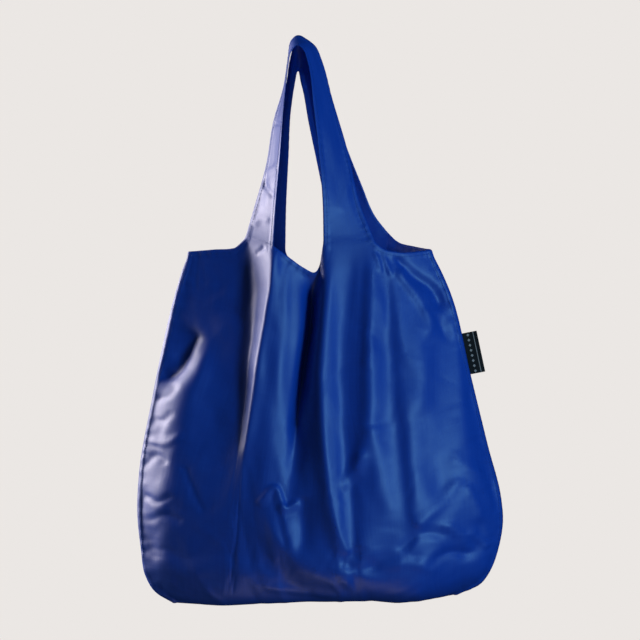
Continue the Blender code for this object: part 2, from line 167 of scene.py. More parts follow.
# %% A line down the cloth
def across_and_depth(line, z):
    """Where a line is across the panel, and how deep, at each height."""
    p = np.array(line, float) * MM
    drop = -p[:, 2]
    slope = np.gradient(p[:, :2], drop, axis=0)
    at = np.clip(-z, drop[0], drop[-1])
    i = np.clip(np.searchsorted(drop, at, side="right") - 1, 0, len(drop) - 2)
    span = (drop[i + 1] - drop[i])[:, None]
    t = (at - drop[i])[:, None] / span
    return (p[i, :2] * (2 * t**3 - 3 * t**2 + 1) + p[i + 1, :2] * (3 * t**2 - 2 * t**3)
            + span * (slope[i] * (t**3 - 2 * t**2 + t) + slope[i + 1] * (t**3 - t**2)))


def seam_line(seam, w):
    """A side seam as rows of across, depth and height, from its low end to its corner."""
    curve = curve_through(seam, np.linspace(0, 1, CURVE_STEPS))
    z = curve[-1, 1] + (curve[0, 1] - curve[-1, 1]) * w
    x = np.interp(-z, -curve[:, 1], curve[:, 0])
    return np.stack([x, np.zeros_like(x), z], axis=1)


def fold_line(line, w, bottom):
    """A ridge or valley as rows of across, depth and height, from the bottom seam up."""
    low = np.interp(line[-1][0] * MM, bottom[:, 0], bottom[:, 1])
    z = low + (line[0][2] * MM - low) * w
    return np.concatenate([across_and_depth(line, z), z[:, None]], axis=1)


def line_down(start, *places):
    """A line from its start down: across and depth at each of the usual heights."""
    return [start] + [(*place, z) for place, z in zip(places, LINE_HEIGHTS)]


LINE_HEIGHTS = (-285, -330, -380, -430, -480, -530, -640)
print("usual heights down a line", LINE_HEIGHTS)

# %% [markdown]
# ## Where the cloth of the front runs
# The left third hangs nearly flat. Then the cloth that carries the left strap stands out as
# a sharp ridge with a steep left side. Right of it a deep valley drops from the mouth, and
# broader ridges fall from the right strap and shoulder.

# %% Front lines: across, depth and height in millimetres
FRONT_LINES = {
    "left_edge": [(-139, 3, -240), (-147, 4, -285), (-142, 8, -322), (-143, 9, -342),
        (-152, 9, -364), (-168, 8, -380), (-181, 6, -398), (-188, 6, -430), (-196, 8, -480),
        (-200, 8, -530), (-198, 7, -580), (-190, 8, -622), (-163, 8, -652)],
    "left_flank": [(-130, 6, -240), (-137, 7, -285), (-134, 13, -322), (-130, 20, -342),
        (-134, 26, -360), (-140, 34, -380), (-150, 37, -400), (-161, 38, -430), (-169, 38, -480),
        (-178, 37, -530), (-180, 30, -580), (-174, 22, -622), (-156, 16, -650)],
    "streak_foot": line_down((-78, 17, -226), (-67, 22), (-69, 31), (-75, 40), (-80, 47),
        (-88, 55), (-99, 58), (-106, 49)),
    "streak_crest": line_down((-45, 48, -238), (-49, 48), (-57, 49), (-65, 55), (-72, 59),
        (-79, 61), (-84, 63), (-86, 55)),
    "streak_hollow": line_down((-38, 47, -243), (-41, 47), (-46, 47), (-53, 52), (-60, 56),
        (-67, 60), (-72, 66), (-74, 58)),
    "mouth_ridge": line_down((-29, 45, -249), (-32, 48), (-33, 50), (-41, 57), (-48, 61),
        (-53, 65), (-61, 69), (-62, 61)),
    "valley_lip": line_down((-12, 41, -261), (-12, 39), (-13, 42), (-21, 49), (-28, 55), (-33, 62),
        (-40, 68), (-42, 64)),
    "valley": [(2, 38, -267), (-1, 26, -290), (-3, 26, -330), (-11, 33, -380), (-17, 42, -430),
        (-20, 53, -480), (-26, 66, -530), (-28, 64, -640)],
    "strap_ridge": line_down((12, 44, -232), (11, 46), (7, 53), (2, 61), (4, 68), (8, 74),
        (17, 79), (20, 72)),
    "strap_crest": line_down((24, 43, -232), (19, 50), (14, 57), (10, 65), (11, 72), (15, 78),
        (26, 81), (30, 72)),
    "strap_hollow": line_down((48, 38, -232), (42, 40), (37, 47), (34, 56), (34, 64), (37, 71),
        (44, 76), (48, 70)),
    "shoulder_ridge": line_down((72, 32, -232), (69, 43), (66, 53), (65, 62), (65, 70), (62, 75),
        (60, 79), (62, 70)),
    "shoulder_hollow": line_down((88, 27, -242), (85, 33), (84, 42), (86, 49), (88, 57), (95, 65),
        (101, 71), (106, 66)),
    "right_bulge": line_down((110, 17, -242), (106, 30), (106, 42), (115, 50), (117, 59),
        (119, 65), (122, 70), (128, 60)),
    "right_flank": [(132, 4, -241), (146, 8, -285), (156, 12, -330), (167, 20, -380),
        (176, 27, -430), (182, 36, -480), (194, 34, -530), (202, 24, -580), (192, 19, -622),
        (164, 16, -644)],
}
FRONT_COLUMNS = {
    "left_edge": 1, "left_flank": 1, "streak_foot": 4, "streak_crest": 5, "streak_hollow": 1,
    "mouth_ridge": 1, "valley_lip": 2, "valley": 2, "strap_ridge": 2, "strap_crest": 1,
    "strap_hollow": 2, "shoulder_ridge": 2, "shoulder_hollow": 1, "right_bulge": 2,
    "right_flank": 2, "right_seam": 2,
}
print("front:", len(FRONT_LINES), "lines,", sum(FRONT_COLUMNS.values()), "main columns")

# %% [markdown]
# ## Where the cloth of the back runs
# The back hangs from its own straps in the same way, with its ridges and valleys at other
# places.

# %% Back lines: across, depth and height in millimetres
BACK_LINES = {
    "left_flank": [(-132, 5, -240), (-141, 8, -285), (-150, 12, -330), (-161, 19, -380),
        (-169, 28, -430), (-175, 36, -480), (-184, 33, -530), (-189, 24, -580), (-180, 18, -622),
        (-158, 16, -650)],
    "left_hollow": line_down((-104, 14, -238), (-108, 18), (-112, 24), (-120, 33), (-126, 43),
        (-130, 53), (-134, 58), (-136, 54)),
    "strap_foot": line_down((-73, 24, -222), (-72, 28), (-76, 34), (-84, 42), (-92, 50), (-98, 58),
        (-102, 64), (-104, 58)),
    "strap_crest": line_down((-33, 46, -240), (-43, 46), (-51, 50), (-60, 56), (-69, 61),
        (-77, 65), (-83, 69), (-85, 62)),
    "mouth_ridge": line_down((-20, 42, -266), (-25, 42), (-30, 45), (-37, 51), (-43, 58),
        (-48, 64), (-52, 70), (-54, 64)),
    "valley": [(-2, 40, -277), (-5, 31, -300), (-7, 31, -330), (-11, 38, -380), (-13, 47, -430),
        (-12, 58, -480), (-8, 67, -530), (-8, 64, -640)],
    "right_root": line_down((12, 44, -250), (15, 45), (15, 50), (13, 57), (13, 64), (17, 71),
        (24, 76), (26, 68)),
    "right_hollow": line_down((58, 37, -230), (56, 39), (55, 44), (56, 51), (57, 59), (59, 66),
        (62, 72), (64, 66)),
    "shoulder_ridge": line_down((88, 32, -217), (90, 37), (92, 44), (94, 52), (97, 60), (101, 67),
        (106, 71), (108, 64)),
    "shoulder_hollow": line_down((112, 20, -233), (120, 23), (126, 29), (132, 37), (138, 45),
        (144, 52), (152, 57), (150, 50)),
    "right_flank": [(132, 4, -239), (147, 9, -285), (158, 14, -330), (168, 21, -380),
        (178, 28, -430), (184, 36, -480), (195, 34, -530), (202, 24, -580), (192, 19, -622),
        (164, 16, -644)],
}
BACK_COLUMNS = {
    "left_flank": 2, "left_hollow": 2, "strap_foot": 2, "strap_crest": 5, "mouth_ridge": 2,
    "valley": 2, "right_root": 2, "right_hollow": 3, "shoulder_ridge": 2, "shoulder_hollow": 2,
    "right_flank": 2, "right_seam": 2,
}
print("back:", len(BACK_LINES), "lines,", sum(BACK_COLUMNS.values()), "main columns")

# %% [markdown]
# ## Short folds as creased tents
# Between the long lines the cloth crumples: low in the middle, at the bottom corners and
# under the right shoulder. Each such fold is a tent along a short path: the cloth stands
# out on the path and falls away in a nearly straight slope on either side.

# %% Fold profile
FOOT_ROUND, FOOT_FADE = 0.02, (1.2, 2.2)


class Fold:
    """A crease on a panel: places down the cloth, height and widths in millimetres."""

    def __init__(self, path, height, left, right, crest=0.18, fade=(0.1, 0.2)):
        self.path = path
        self.height = self.spread(height)
        self.left = self.spread(left)
        self.right = self.spread(right)
        self.crest = crest
        self.fade = fade

    def spread(self, value):
        """One value for each place of the path."""
        return list(value) if hasattr(value, "__len__") else [value] * len(self.path)

    def relief(self, x, z):
        """How far this fold pushes the cloth outwards, in metres."""
        steps = np.linspace(0, 1, 6 * len(self.path))
        line = curve_through(self.path, steps)
        best = np.full(x.shape, np.inf)
        signed = np.zeros_like(x)
        along = np.zeros_like(x)
        for k in range(len(line) - 1):
            (ax, az), (bx, bz) = line[k], line[k + 1]
            dx, dz = bx - ax, bz - az
            length = math.hypot(dx, dz)
            raw = ((x - ax) * dx + (z - az) * dz) / length**2
            t = np.clip(raw, 0, 1)
            away = np.hypot(x - ax - t * dx, z - az - t * dz)
            side = np.sign(dx * (z - az) - dz * (x - ax))
            nearer = away < best
            best = np.where(nearer, away, best)
            signed = np.where(nearer, side * away, signed)
            along = np.where(nearer, (k + t) / (len(line) - 1), along)
        chord = np.linalg.norm(np.diff(np.array(self.path, float), axis=0), axis=1)
        knots = np.concatenate([[0.0], np.cumsum(chord)]) / chord.sum()
        height = np.interp(along, knots, self.height) * MM
        left = np.interp(along, knots, self.left) * MM
        right = np.interp(along, knots, self.right) * MM
        width = np.where(signed < 0, left, right)
        ratio = np.sqrt((signed / width) ** 2 + self.crest**2) - self.crest
        slope = 1 - ratio
        foot = 0.5 * (slope + np.sqrt(slope**2 + FOOT_ROUND) - math.sqrt(1 + FOOT_ROUND) + 1)
        foot = foot * (1 - smooth_step(*FOOT_FADE, ratio))
        start, end = self.fade
        ends = smooth_step(0, start, along) if start else 1.0
        ends = ends * (1 - smooth_step(1 - end, 1.0, along)) if end else ends
        return height * foot * ends


print("a fold is a creased tent along a path")

# %% [markdown]
# ## The folds one can point at
# The broadest folds are drawn one by one, each with its own name: the streak under the left
# strap, the falls under the right strap and shoulder, and the swells along the bottom.

# %% Broad folds: the path, the height, the left and the right width in millimetres
FRONT_FOLDS = {
    "streak": Fold([(-45, -240), (-52, -300), (-56, -334), (-61, -367), (-66, -412), (-73, -450),
        (-80, -487)], [6, 9, 8, 7, 5, 4, 2], [27, 21, 17, 14, 12, 9, 7],
        [30, 40, 42, 40, 34, 26, 20], crest=0.06, fade=(0.02, 0.1)),
    "left_of_streak": Fold([(-76, -250), (-73, -300), (-71, -340), (-75, -380), (-79, -430)],
        [-2, -3, -3, -3, -2], 20, 7, crest=0.1, fade=(0.1, 0.2)),
    "beside_valley": Fold([(0, -278), (-2, -321), (-11, -381), (-18, -441), (-19, -480)],
        [-6, -7, -7, -6, -3], 9, 8, crest=0.2, fade=(0.1, 0.2)),
    "left_dent": Fold([(-130, -336), (-140, -348), (-148, -361), (-155, -376), (-166, -386),
        (-182, -387)], [-3, -5, -6, -6, -5, -4], 28, 18, crest=0.05, fade=(0.12, 0.1)),
    "below_mouth": Fold([(58, -470), (48, -492), (30, -515)], 3, 8, 10, crest=0.1),
    "tab_dent": Fold([(146, -300), (128, -338), (132, -380), (124, -440)], 4, 16, 14, crest=0.08),
    "under_shoulder": Fold([(92, -246), (112, -268), (140, -288), (152, -318)], -4, 10, 13,
        crest=0.08),
    "low_diagonal": Fold([(-64, -534), (-42, -568), (-16, -600), (32, -622), (96, -634),
        (160, -640)], [3, 8, 9, 8, 6, 3], [22, 24, 22, 20, 20, 18], [34, 34, 40, 50, 40, 36],
        crest=0.04, fade=(0.14, 0.2)),
    "low_notch": Fold([(-15, -522), (-13, -560), (-12, -598)], [-4, -6, -3], 7, 14, crest=0.06,
        fade=(0.1, 0.3)),
    "strap_fall": Fold([(16, -256), (10, -350), (8, -430), (13, -490), (22, -545), (36, -578),
        (50, -606)], [2, 3, 4, 5, 7, 7, 6], [9, 10, 11, 12, 14, 15, 16],
        [18, 20, 22, 26, 30, 30, 26], crest=0.05, fade=(0.1, 0.08)),
    "shoulder_fall": Fold([(68, -246), (68, -306), (66, -367), (65, -441), (56, -478), (40, -507)],
        [2, 3, 4, 5, 5, 3], [9, 10, 11, 12, 12, 10], [15, 17, 18, 20, 18, 14], crest=0.05,
        fade=(0.1, 0.15)),
    "shoulder_branch": Fold([(69, -441), (74, -474), (80, -520), (96, -560)], [4, 4, 4, 3], 9, 16,
        crest=0.05, fade=(0.05, 0.3)),
    "low_right": Fold([(34, -622), (62, -590), (78, -548)], [4, 3, 2], 16, 18, crest=0.06,
        fade=(0.02, 0.4)),
    "low_left": Fold([(-190, -600), (-150, -612), (-100, -606), (-60, -618)], 3, 12, 14, crest=0.1),
}
BACK_FOLDS = {
    "low_left": Fold([(-130, -560), (-60, -598), (10, -612)], -5, 10, 11, crest=0.2),
    "low_middle": Fold([(-70, -530), (0, -560), (80, -578)], 4, 12, 12, crest=0.2),
    "low_right": Fold([(60, -600), (120, -590), (170, -602)], -4, 9, 11, crest=0.2),
    "below_mouth": Fold([(-40, -470), (-22, -510), (-30, -545)], 4, 8, 9, crest=0.15),
}
STRAP_FOLDS = {
    "near_top": Fold([(-46, -91), (-40, -94), (-35, -96)], -1.2, 2.5, 2.5, crest=0.1),
    "left_middle": Fold([(-59, -158), (-53, -170), (-44, -182)], -1.6, 4, 5, crest=0.08),
    "left_foot": Fold([(-66, -246), (-61, -243), (-55, -237)], -1.5, 3, 4, crest=0.08),
    "left_low": Fold([(-70, -212), (-60, -204), (-48, -208)], 1.0, 6, 5, crest=0.08),
    "left_high": Fold([(-54, -150), (-44, -146), (-38, -140)], 0.8, 5, 5, crest=0.08),
    "right_high": Fold([(30, -200), (42, -150), (34, -110)], 0.9, 7, 9, crest=0.1),
    "right_low": Fold([(62, -214), (50, -186), (46, -160)], -0.9, 7, 7, crest=0.1),
}
print("broad folds:", len(FRONT_FOLDS), "front,", len(BACK_FOLDS), "back,", len(STRAP_FOLDS), "strap")

# %% [markdown]
# ## Sharp little folds
# Thin coated nylon also breaks into short sharp folds, where it is pinched between two long
# ones. Each row here is one of them, and the rows of a list share how sharp their tops are.

# %% Sharp folds: height, left and right width, then the path, in millimetres
def pleats(rows, crest, fade=(0.1, 0.2)):
    """Small folds with equally sharp tops."""
    return [Fold(path, height, left, right, crest, fade) for height, left, right, *path in rows]


FRONT_CREASES = pleats([
    ([-1, -3, -4, -4, -4, -3], 12, 8, (-130, -336), (-140, -348), (-148, -361), (-155, -376),
     (-166, -386), (-184, -387)),
], crest=0.03, fade=(0.12, 0.05))
FRONT_CREASES += pleats([
    (-1.4, 6, 5, (-158, -398), (-170, -412), (-186, -414)),
    (-1.3, 5, 6, (-162, -428), (-178, -440), (-192, -436)),
    (1.2, 6, 5, (-150, -452), (-170, -466), (-192, -462)),
    (-1.6, 6, 6, (-168, -490), (-182, -480), (-198, -494)),
    (-1.6, 6, 5, (-162, -524), (-182, -534), (-198, -524)),
    (-1.4, 6, 7, (-150, -556), (-172, -548), (-196, -560)),
    (-1.2, 4, 5, (-150, -489), (-138, -520), (-124, -549)),
], crest=0.06)
FRONT_CREASES += pleats([
    ([1, 3.5, 3.5, 3], 9, 5, (-64, -534), (-43, -514), (-31, -537), (-15, -528)),
], crest=0.04, fade=(0.05, 0.05))
FRONT_CREASES += pleats([
    (1.6, 6, 9, (-38, -530), (-30, -560), (-24, -590)),
    (1.0, 8, 8, (58, -330), (66, -352), (60, -380)),
], crest=0.05)
FRONT_CREASES += pleats([
    (-3, 7, 9, (92, -246), (112, -268), (140, -288), (152, -318)),
    (-2, 6, 9, (128, -300), (150, -330), (160, -352)),
    (2.0, 9, 11, (116, -560), (148, -532), (176, -500)),
    (-2.0, 9, 10, (96, -588), (128, -566), (158, -572)),
    (2.6, 6, 10, (150, -556), (170, -572), (184, -594)),
    (2.6, 7, 8, (180, -566), (194, -578), (206, -590)),
    (-2.4, 7, 8, (128, -608), (158, -590), (188, -598)),
    (1.8, 7, 7, (176, -512), (190, -536), (196, -560)),
    (2.0, 8, 10, (70, -606), (112, -600), (150, -612)),
    (-2.0, 7, 8, (30, -596), (48, -606), (84, -604)),
    (1.8, 7, 7, (-60, -628), (-10, -634), (40, -640)),
], crest=0.04)
FRONT_CREASES += pleats([
    (3, 6, 13, (96, -262), (118, -292), (136, -325), (128, -352)),
], crest=0.03)
FRONT_CREASES += pleats([
    (1.8, 3, 4, (72, -246), (76, -256), (78, -270)),
    (2.0, 3, 4, (82, -247), (85, -258), (92, -274)),
    (1.8, 4, 4, (92, -249), (100, -260), (110, -272)),
], crest=0.06, fade=(0.0, 0.3))
BACK_CREASES = pleats([
    (-2.4, 7, 9, (-90, -250), (-110, -280), (-128, -320)),
    (2.4, 7, 10, (80, -240), (104, -266), (132, -300)),
    (2.0, 9, 10, (120, -560), (150, -530), (178, -506)),
    (2.2, 8, 9, (-180, -560), (-150, -590), (-120, -600)),
    (-2.0, 8, 8, (-60, -612), (0, -620), (60, -616)),
], crest=0.04)
print("sharp folds:", len(FRONT_CREASES), "front,", len(BACK_CREASES), "back")

# %% [markdown]
# ## Small creases
# A bag that is often folded into its pouch keeps faint straight creases all over. Each is
# a short, low and narrow tent with a random place and direction. The random numbers come
# from a seed, so that the bag is the same each time. They are strongest at the sides and
# along the bottom, where the cloth is slack, and almost gone where it hangs tight.

# %% Scattered creases
PANEL_SIDES, PANEL_ENDS = (-215, 225), (-650, -240)
SLACK_HALF, SLACK_BELOW, SLACK_DROP = 215, 420, 210
CREASE_REACH, CREASE_ROUND = 70 * MM, 0.002
# Each kind: how many, how they lean, half their length, their height, how much of it they
# have where the cloth hangs tight and how much more where it is slack, and their width.
CREASE_KINDS = (
    {"count": 420, "lean": lambda rng: rng.normal(0.0, 0.9), "half": (8, 30),
     "height": (0.10, 0.32), "share": (0.25, 2.6), "width": (4.0, 9.0)},
    {"count": 46, "lean": lambda rng: rng.uniform(-1.3, 1.3), "half": (22, 45),
     "height": (0.6, 1.8), "share": (0.5, 1.4), "width": (9.0, 22.0)},
)


def slack_at(x, z):
    """How slack the cloth is: 0 where it hangs tight, 1 at the sides and at the bottom."""
    return min(max(abs(x) / SLACK_HALF, (-z - SLACK_BELOW) / SLACK_DROP, 0.0) ** 2, 1.0)


def scattered_creases(seed):
    """Short tents with random places: path, height and width in millimetres."""
    rng = np.random.default_rng(seed)
    found = []
    for kind in CREASE_KINDS:
        for _ in range(kind["count"]):
            x = rng.uniform(*PANEL_SIDES)
            z = rng.uniform(*PANEL_ENDS)
            lean = kind["lean"](rng)
            half = rng.uniform(*kind["half"])
            aside, down = half * math.sin(lean), half * math.cos(lean)
            tight, slack = kind["share"]
            height = rng.choice([-1, 1]) * rng.uniform(*kind["height"])
            height = height * (tight + slack * slack_at(x, z))
            path = [(x - aside, z + down), (x + aside, z - down)]
            found.append((path, height, rng.uniform(*kind["width"])))
    return found


def crease_relief(x, z, creases):
    """The scattered creases' height, each one only worked out near itself."""
    relief = np.zeros_like(x)
    for path, height, width in creases:
        (ax, az), (bx, bz) = np.array(path) * MM
        near = np.abs(x - (ax + bx) / 2) < CREASE_REACH
        near = near & (np.abs(z - (az + bz) / 2) < CREASE_REACH)
        px, pz = x[near], z[near]
        dx, dz = bx - ax, bz - az
        length = math.hypot(dx, dz)
        t = ((px - ax) * dx + (pz - az) * dz) / length**2
        away = np.abs(dx * (pz - az) - dz * (px - ax)) / length
        body = np.clip(1 - np.abs(2 * t - 1) ** 2, 0, 1)
        tent = np.clip(1 - np.sqrt((away / (width * MM)) ** 2 + CREASE_ROUND), 0, 1)
        relief[near] += height * MM * tent * body
    return relief


CREASES = {"front_panel": scattered_creases(11), "back_panel": scattered_creases(29)}
print("scattered creases", {name: len(found) for name, found in CREASES.items()})

# %% [markdown]
# ## A panel as one continuous sheet
# The body is a grid of rows from the bottom seam to the top edge. The seams give the
# outline, a rounded profile gives the puffed depth, and the folds are added to that depth.
# The handle band continues the same grid over the hanging point, so the strap really is
# the same cloth as the body.

# %% Panel grid
FINER = 3
STRAP_COLUMNS = FRONT_COLUMNS["streak_crest"] * FINER
BAND_ROWS, FLOOR_ROWS, WALL_ROWS = 108, 15, 92
TOP_EASE, FLOOR_SHARE = 0.16, 0.09
STRAP_CROWN, STRAP_CREASE, STRAP_CREASES, STRAP_EASE = 0.0012, 0.0007, 9, 0.12
ROUNDING_PASSES = 3
CURLED_COLUMNS = 4
CURL_WAY = (-1.9 * MM, 0.3 * MM, 0.0)
CURL_START, CURL_END = (0.44, 0.55), (0.86, 0.98)


def top_edge(top, outer, inner, x, root_left, root_right):
    """The top row of points: shoulder, handle root, mouth, handle root, shoulder."""
    row = np.zeros((len(x), 3))
    row[:, 0] = x
    inner_left = root_left + STRAP_COLUMNS
    outer_right = root_right + STRAP_COLUMNS
    stretches = (("left_shoulder", 0, root_left), ("mouth", inner_left, root_right),
                 ("right_shoulder", outer_right, len(x) - 1))
    for name, start, end in stretches:
        curve = curve_through(top[name], np.linspace(0, 1, CURVE_STEPS))
        for axis in (1, 2):
            row[start:end + 1, axis] = np.interp(x[start:end + 1], curve[:, 0], curve[:, axis])
    across = np.linspace(0, 1, STRAP_COLUMNS + 1)[:, None]
    row[root_left:inner_left + 1] = outer[0] + (inner[0] - outer[0]) * across
    row[root_right:outer_right + 1] = inner[-1] + (outer[-1] - inner[-1]) * across
    return row


def body_points(top, outer, inner, side, lines, column_counts, roots, folds):
    """The panel's body as rows of points from the bottom seam up to its top edge."""
    floor = np.linspace(0, 1, FLOOR_ROWS, endpoint=False)
    wall = np.linspace(0, 1, WALL_ROWS + 1)
    bend = np.concatenate([floor, np.ones(WALL_ROWS + 1)]) * math.pi / 2
    power = 2 / FLOOR_SQUARENESS
    reach = np.sin(bend) ** power
    lift = 1 - np.maximum(np.cos(bend), 0.0) ** power
    body_height = (LEFT_SEAM[0][1] - BOTTOM_SEAM[0][1]) * MM
    wall_height = np.concatenate([np.zeros(FLOOR_ROWS), wall]) * (body_height - FLOOR_RADIUS)
    w = (FLOOR_RADIUS * lift + wall_height) / body_height

    bottom = curve_through(BOTTOM_SEAM, np.linspace(0, 1, CURVE_STEPS))
    steps = [count * FINER for count in column_counts.values()]
    rails = [seam_line(LEFT_SEAM, w)]
    rails += [fold_line(line, w, bottom) for line in lines.values()]
    rails += [seam_line(RIGHT_SEAM, w)]
    columns = [rails[0]]
    for count, low, high in zip(steps, rails, rails[1:]):
        for step in range(1, count + 1):
            columns.append(low + (high - low) * step / count)
    grid = np.stack(columns, axis=1)
    for _ in range(ROUNDING_PASSES):
        grid[:, 1:-1] = 0.25 * grid[:, :-2] + 0.5 * grid[:, 1:-1] + 0.25 * grid[:, 2:]

    names = list(lines)
    root_left = sum(steps[:names.index(roots[0]) + 1])
    root_right = sum(steps[:names.index(roots[1]) + 1])
    top_row = top_edge(top, outer, inner, grid[-1, :, 0], root_left, root_right)
    seam_z = np.interp(grid[0, :, 0], bottom[:, 0], bottom[:, 1])
    at_bottom = (1 - smooth_step(0, FLOOR_SHARE, w))[:, None]
    at_top = smooth_step(1 - TOP_EASE, 1, w)[:, None]

    x = grid[:, :, 0] + at_top * (top_row[:, 0] - grid[-1, :, 0])
    z = grid[:, :, 2] + at_top * (top_row[:, 2] - grid[-1, :, 2])
    z = z + at_bottom * (seam_z - grid[0, :, 2])
    fullness = grid[:, :, 1] / grid[:, :, 1].max()
    z = z - FLOOR_SAG * np.sin(math.pi * reach)[:, None] * fullness
    relief = sum(fold.relief(x, z) for fold in folds.values())
    relief = relief * smooth_step(0, 0.1, fullness)
    depth = (grid[:, :, 1] + relief) * reach[:, None]
    depth = depth + at_top * (side * top_row[:, 1] - depth[-1])
    depth = np.maximum(depth, 0.0)
    body = np.stack([x, side * (SEAM_GAP / 2 + SHELL_LIFT + depth), z], axis=2)
    return body, root_left, root_right


def band_points(outer, inner, side):
    """The handle loop as rows across the band, from the left root to the right root."""
    across = np.linspace(0, 1, STRAP_COLUMNS + 1)[None, :, None]
    rows = outer[:, None, :] * (1 - across) + inner[:, None, :] * across
    run = np.linspace(0, 1, len(outer))[:, None]
    away = smooth_step(0, STRAP_EASE, run) * (1 - smooth_step(1 - STRAP_EASE, 1, run))
    crown = STRAP_CROWN * np.sin(math.pi * across[:, :, 0])
    waves = np.sin(3 * math.pi * across[:, :, 0]) * np.cos(STRAP_CREASES * math.pi * run)
    rows[:, :, 1] += side * away * (crown + STRAP_CREASE * waves)
    if side > 0:
        leg = smooth_step(*CURL_START, run) * (1 - smooth_step(*CURL_END, run))
        for step in range(1, CURLED_COLUMNS + 1):
            column = STRAP_COLUMNS - CURLED_COLUMNS + step
            turned = rows[:, STRAP_COLUMNS - CURLED_COLUMNS] + np.array(CURL_WAY) * step
            rows[:, column] += leg * (turned - rows[:, column])
    return rows


print("panel grid", sum(FRONT_COLUMNS.values()) * FINER, "by", FLOOR_ROWS + WALL_ROWS)

# %% [markdown]
# ## Cloth coordinates
# The weave has to follow the cloth and not the world, so each corner of the mesh gets its
# place on the flat cut, in metres: how far across the panel, and how far up it. Two more
# helpers turn rows of points into faces, and faces into an object that holds those places.

# %% Lay the grid flat
def flat_places(rows):
    """Across and along, in metres, for a grid of points: arc lengths on the cloth."""
    across = np.linalg.norm(np.diff(rows, axis=1), axis=2)
    across = np.concatenate([np.zeros((len(rows), 1)), np.cumsum(across, axis=1)], axis=1)
    across -= across[:, across.shape[1] // 2][:, None]
    along = np.linalg.norm(np.diff(rows, axis=0), axis=2)
    along = np.concatenate([np.zeros((1, rows.shape[1])), np.cumsum(along, axis=0)], axis=0)
    return np.stack([across, along], axis=2)


def faces_between(rows, side):
    """Quads between neighbouring rows of vertex numbers, facing outwards on either side."""
    rows = [[int(number) for number in row] for row in rows]
    faces = [(low[c], low[c + 1], high[c + 1], high[c])
             for low, high in zip(rows, rows[1:]) for c in range(len(low) - 1)]
    return [face[::-1] for face in faces] if side > 0 else faces


def smooth_object(name, points, faces, flat):
    """A smooth object in which each corner knows its place on the flat cut."""
    mesh = bpy.data.meshes.new(name + "_loft")
    mesh.from_pydata([tuple(p) for p in points], [], faces)
    layer = mesh.uv_layers.new(name="flat_cut")
    corner = np.zeros(len(mesh.loops), np.int32)
    mesh.loops.foreach_get("vertex_index", corner)
    layer.data.foreach_set("uv", np.array(flat)[corner].astype(np.float32).ravel())
    mesh.shade_smooth()
    made = bpy.data.objects.new(name, mesh)
    bpy.context.collection.objects.link(made)
    finer = made.modifiers.new("finer", "SUBSURF")
    finer.levels = finer.render_levels = 1
    return made


print("flat cut is a map named flat_cut, in metres")

# %% [markdown]
# ## Let the cloth settle
# The loft gives the long folds, but it is too even. Blender's cloth simulation takes over
# for the small ones: the panel is held along its seams and its top edge, its flat cut is a
# little larger than the loft, and a slight pressure from inside keeps it full. The spare
# cloth then finds its own soft dents. A weak pull towards the loft keeps the bag's form.

# %% Cloth settling
EASE_ACROSS, EASE_ALONG = 1.02, 1.01
HOLD_INSIDE, HOLD_TIGHT, TIGHT_ROWS = 0.05, 0.6, (0.35, 0.5)
SETTLE_FRAMES, SETTLED_SHARE = 25, 0.4
NYLON = {
    "quality": 8, "mass": 0.10, "tension_stiffness": 30, "compression_stiffness": 30,
    "shear_stiffness": 8, "bending_stiffness": 0.05, "tension_damping": 5,
    "compression_damping": 5, "shear_damping": 5, "bending_damping": 0.5, "air_damping": 2.0,
    "vertex_group_mass": "held", "pin_stiffness": 1.0, "use_pressure": True,
    "uniform_pressure_force": 0.4,
}
GRAVITY_SHARE = 0.3


def hold_weights(count, columns, left_root):
    """How firmly each point is held: fully at seams and top, well under the left strap."""
    hold = np.full((count, columns), HOLD_INSIDE)
    hold[:, [0, -1]] = 1.0
    tight = slice(left_root, left_root + STRAP_COLUMNS + 1)
    rise = smooth_step(*TIGHT_ROWS, np.linspace(0, 1, count))[:, None]
    hold[:, tight] = np.maximum(hold[:, tight], HOLD_TIGHT * rise)
    hold[[0, -1], :] = 1.0
    return hold


def vertex_values(mesh, kind):
    """All vertices' places or normals as rows of three."""
    values = np.zeros(len(mesh.vertices) * 3, np.float32)
    mesh.vertices.foreach_get(kind, values)
    return values.reshape(-1, 3).astype(float)


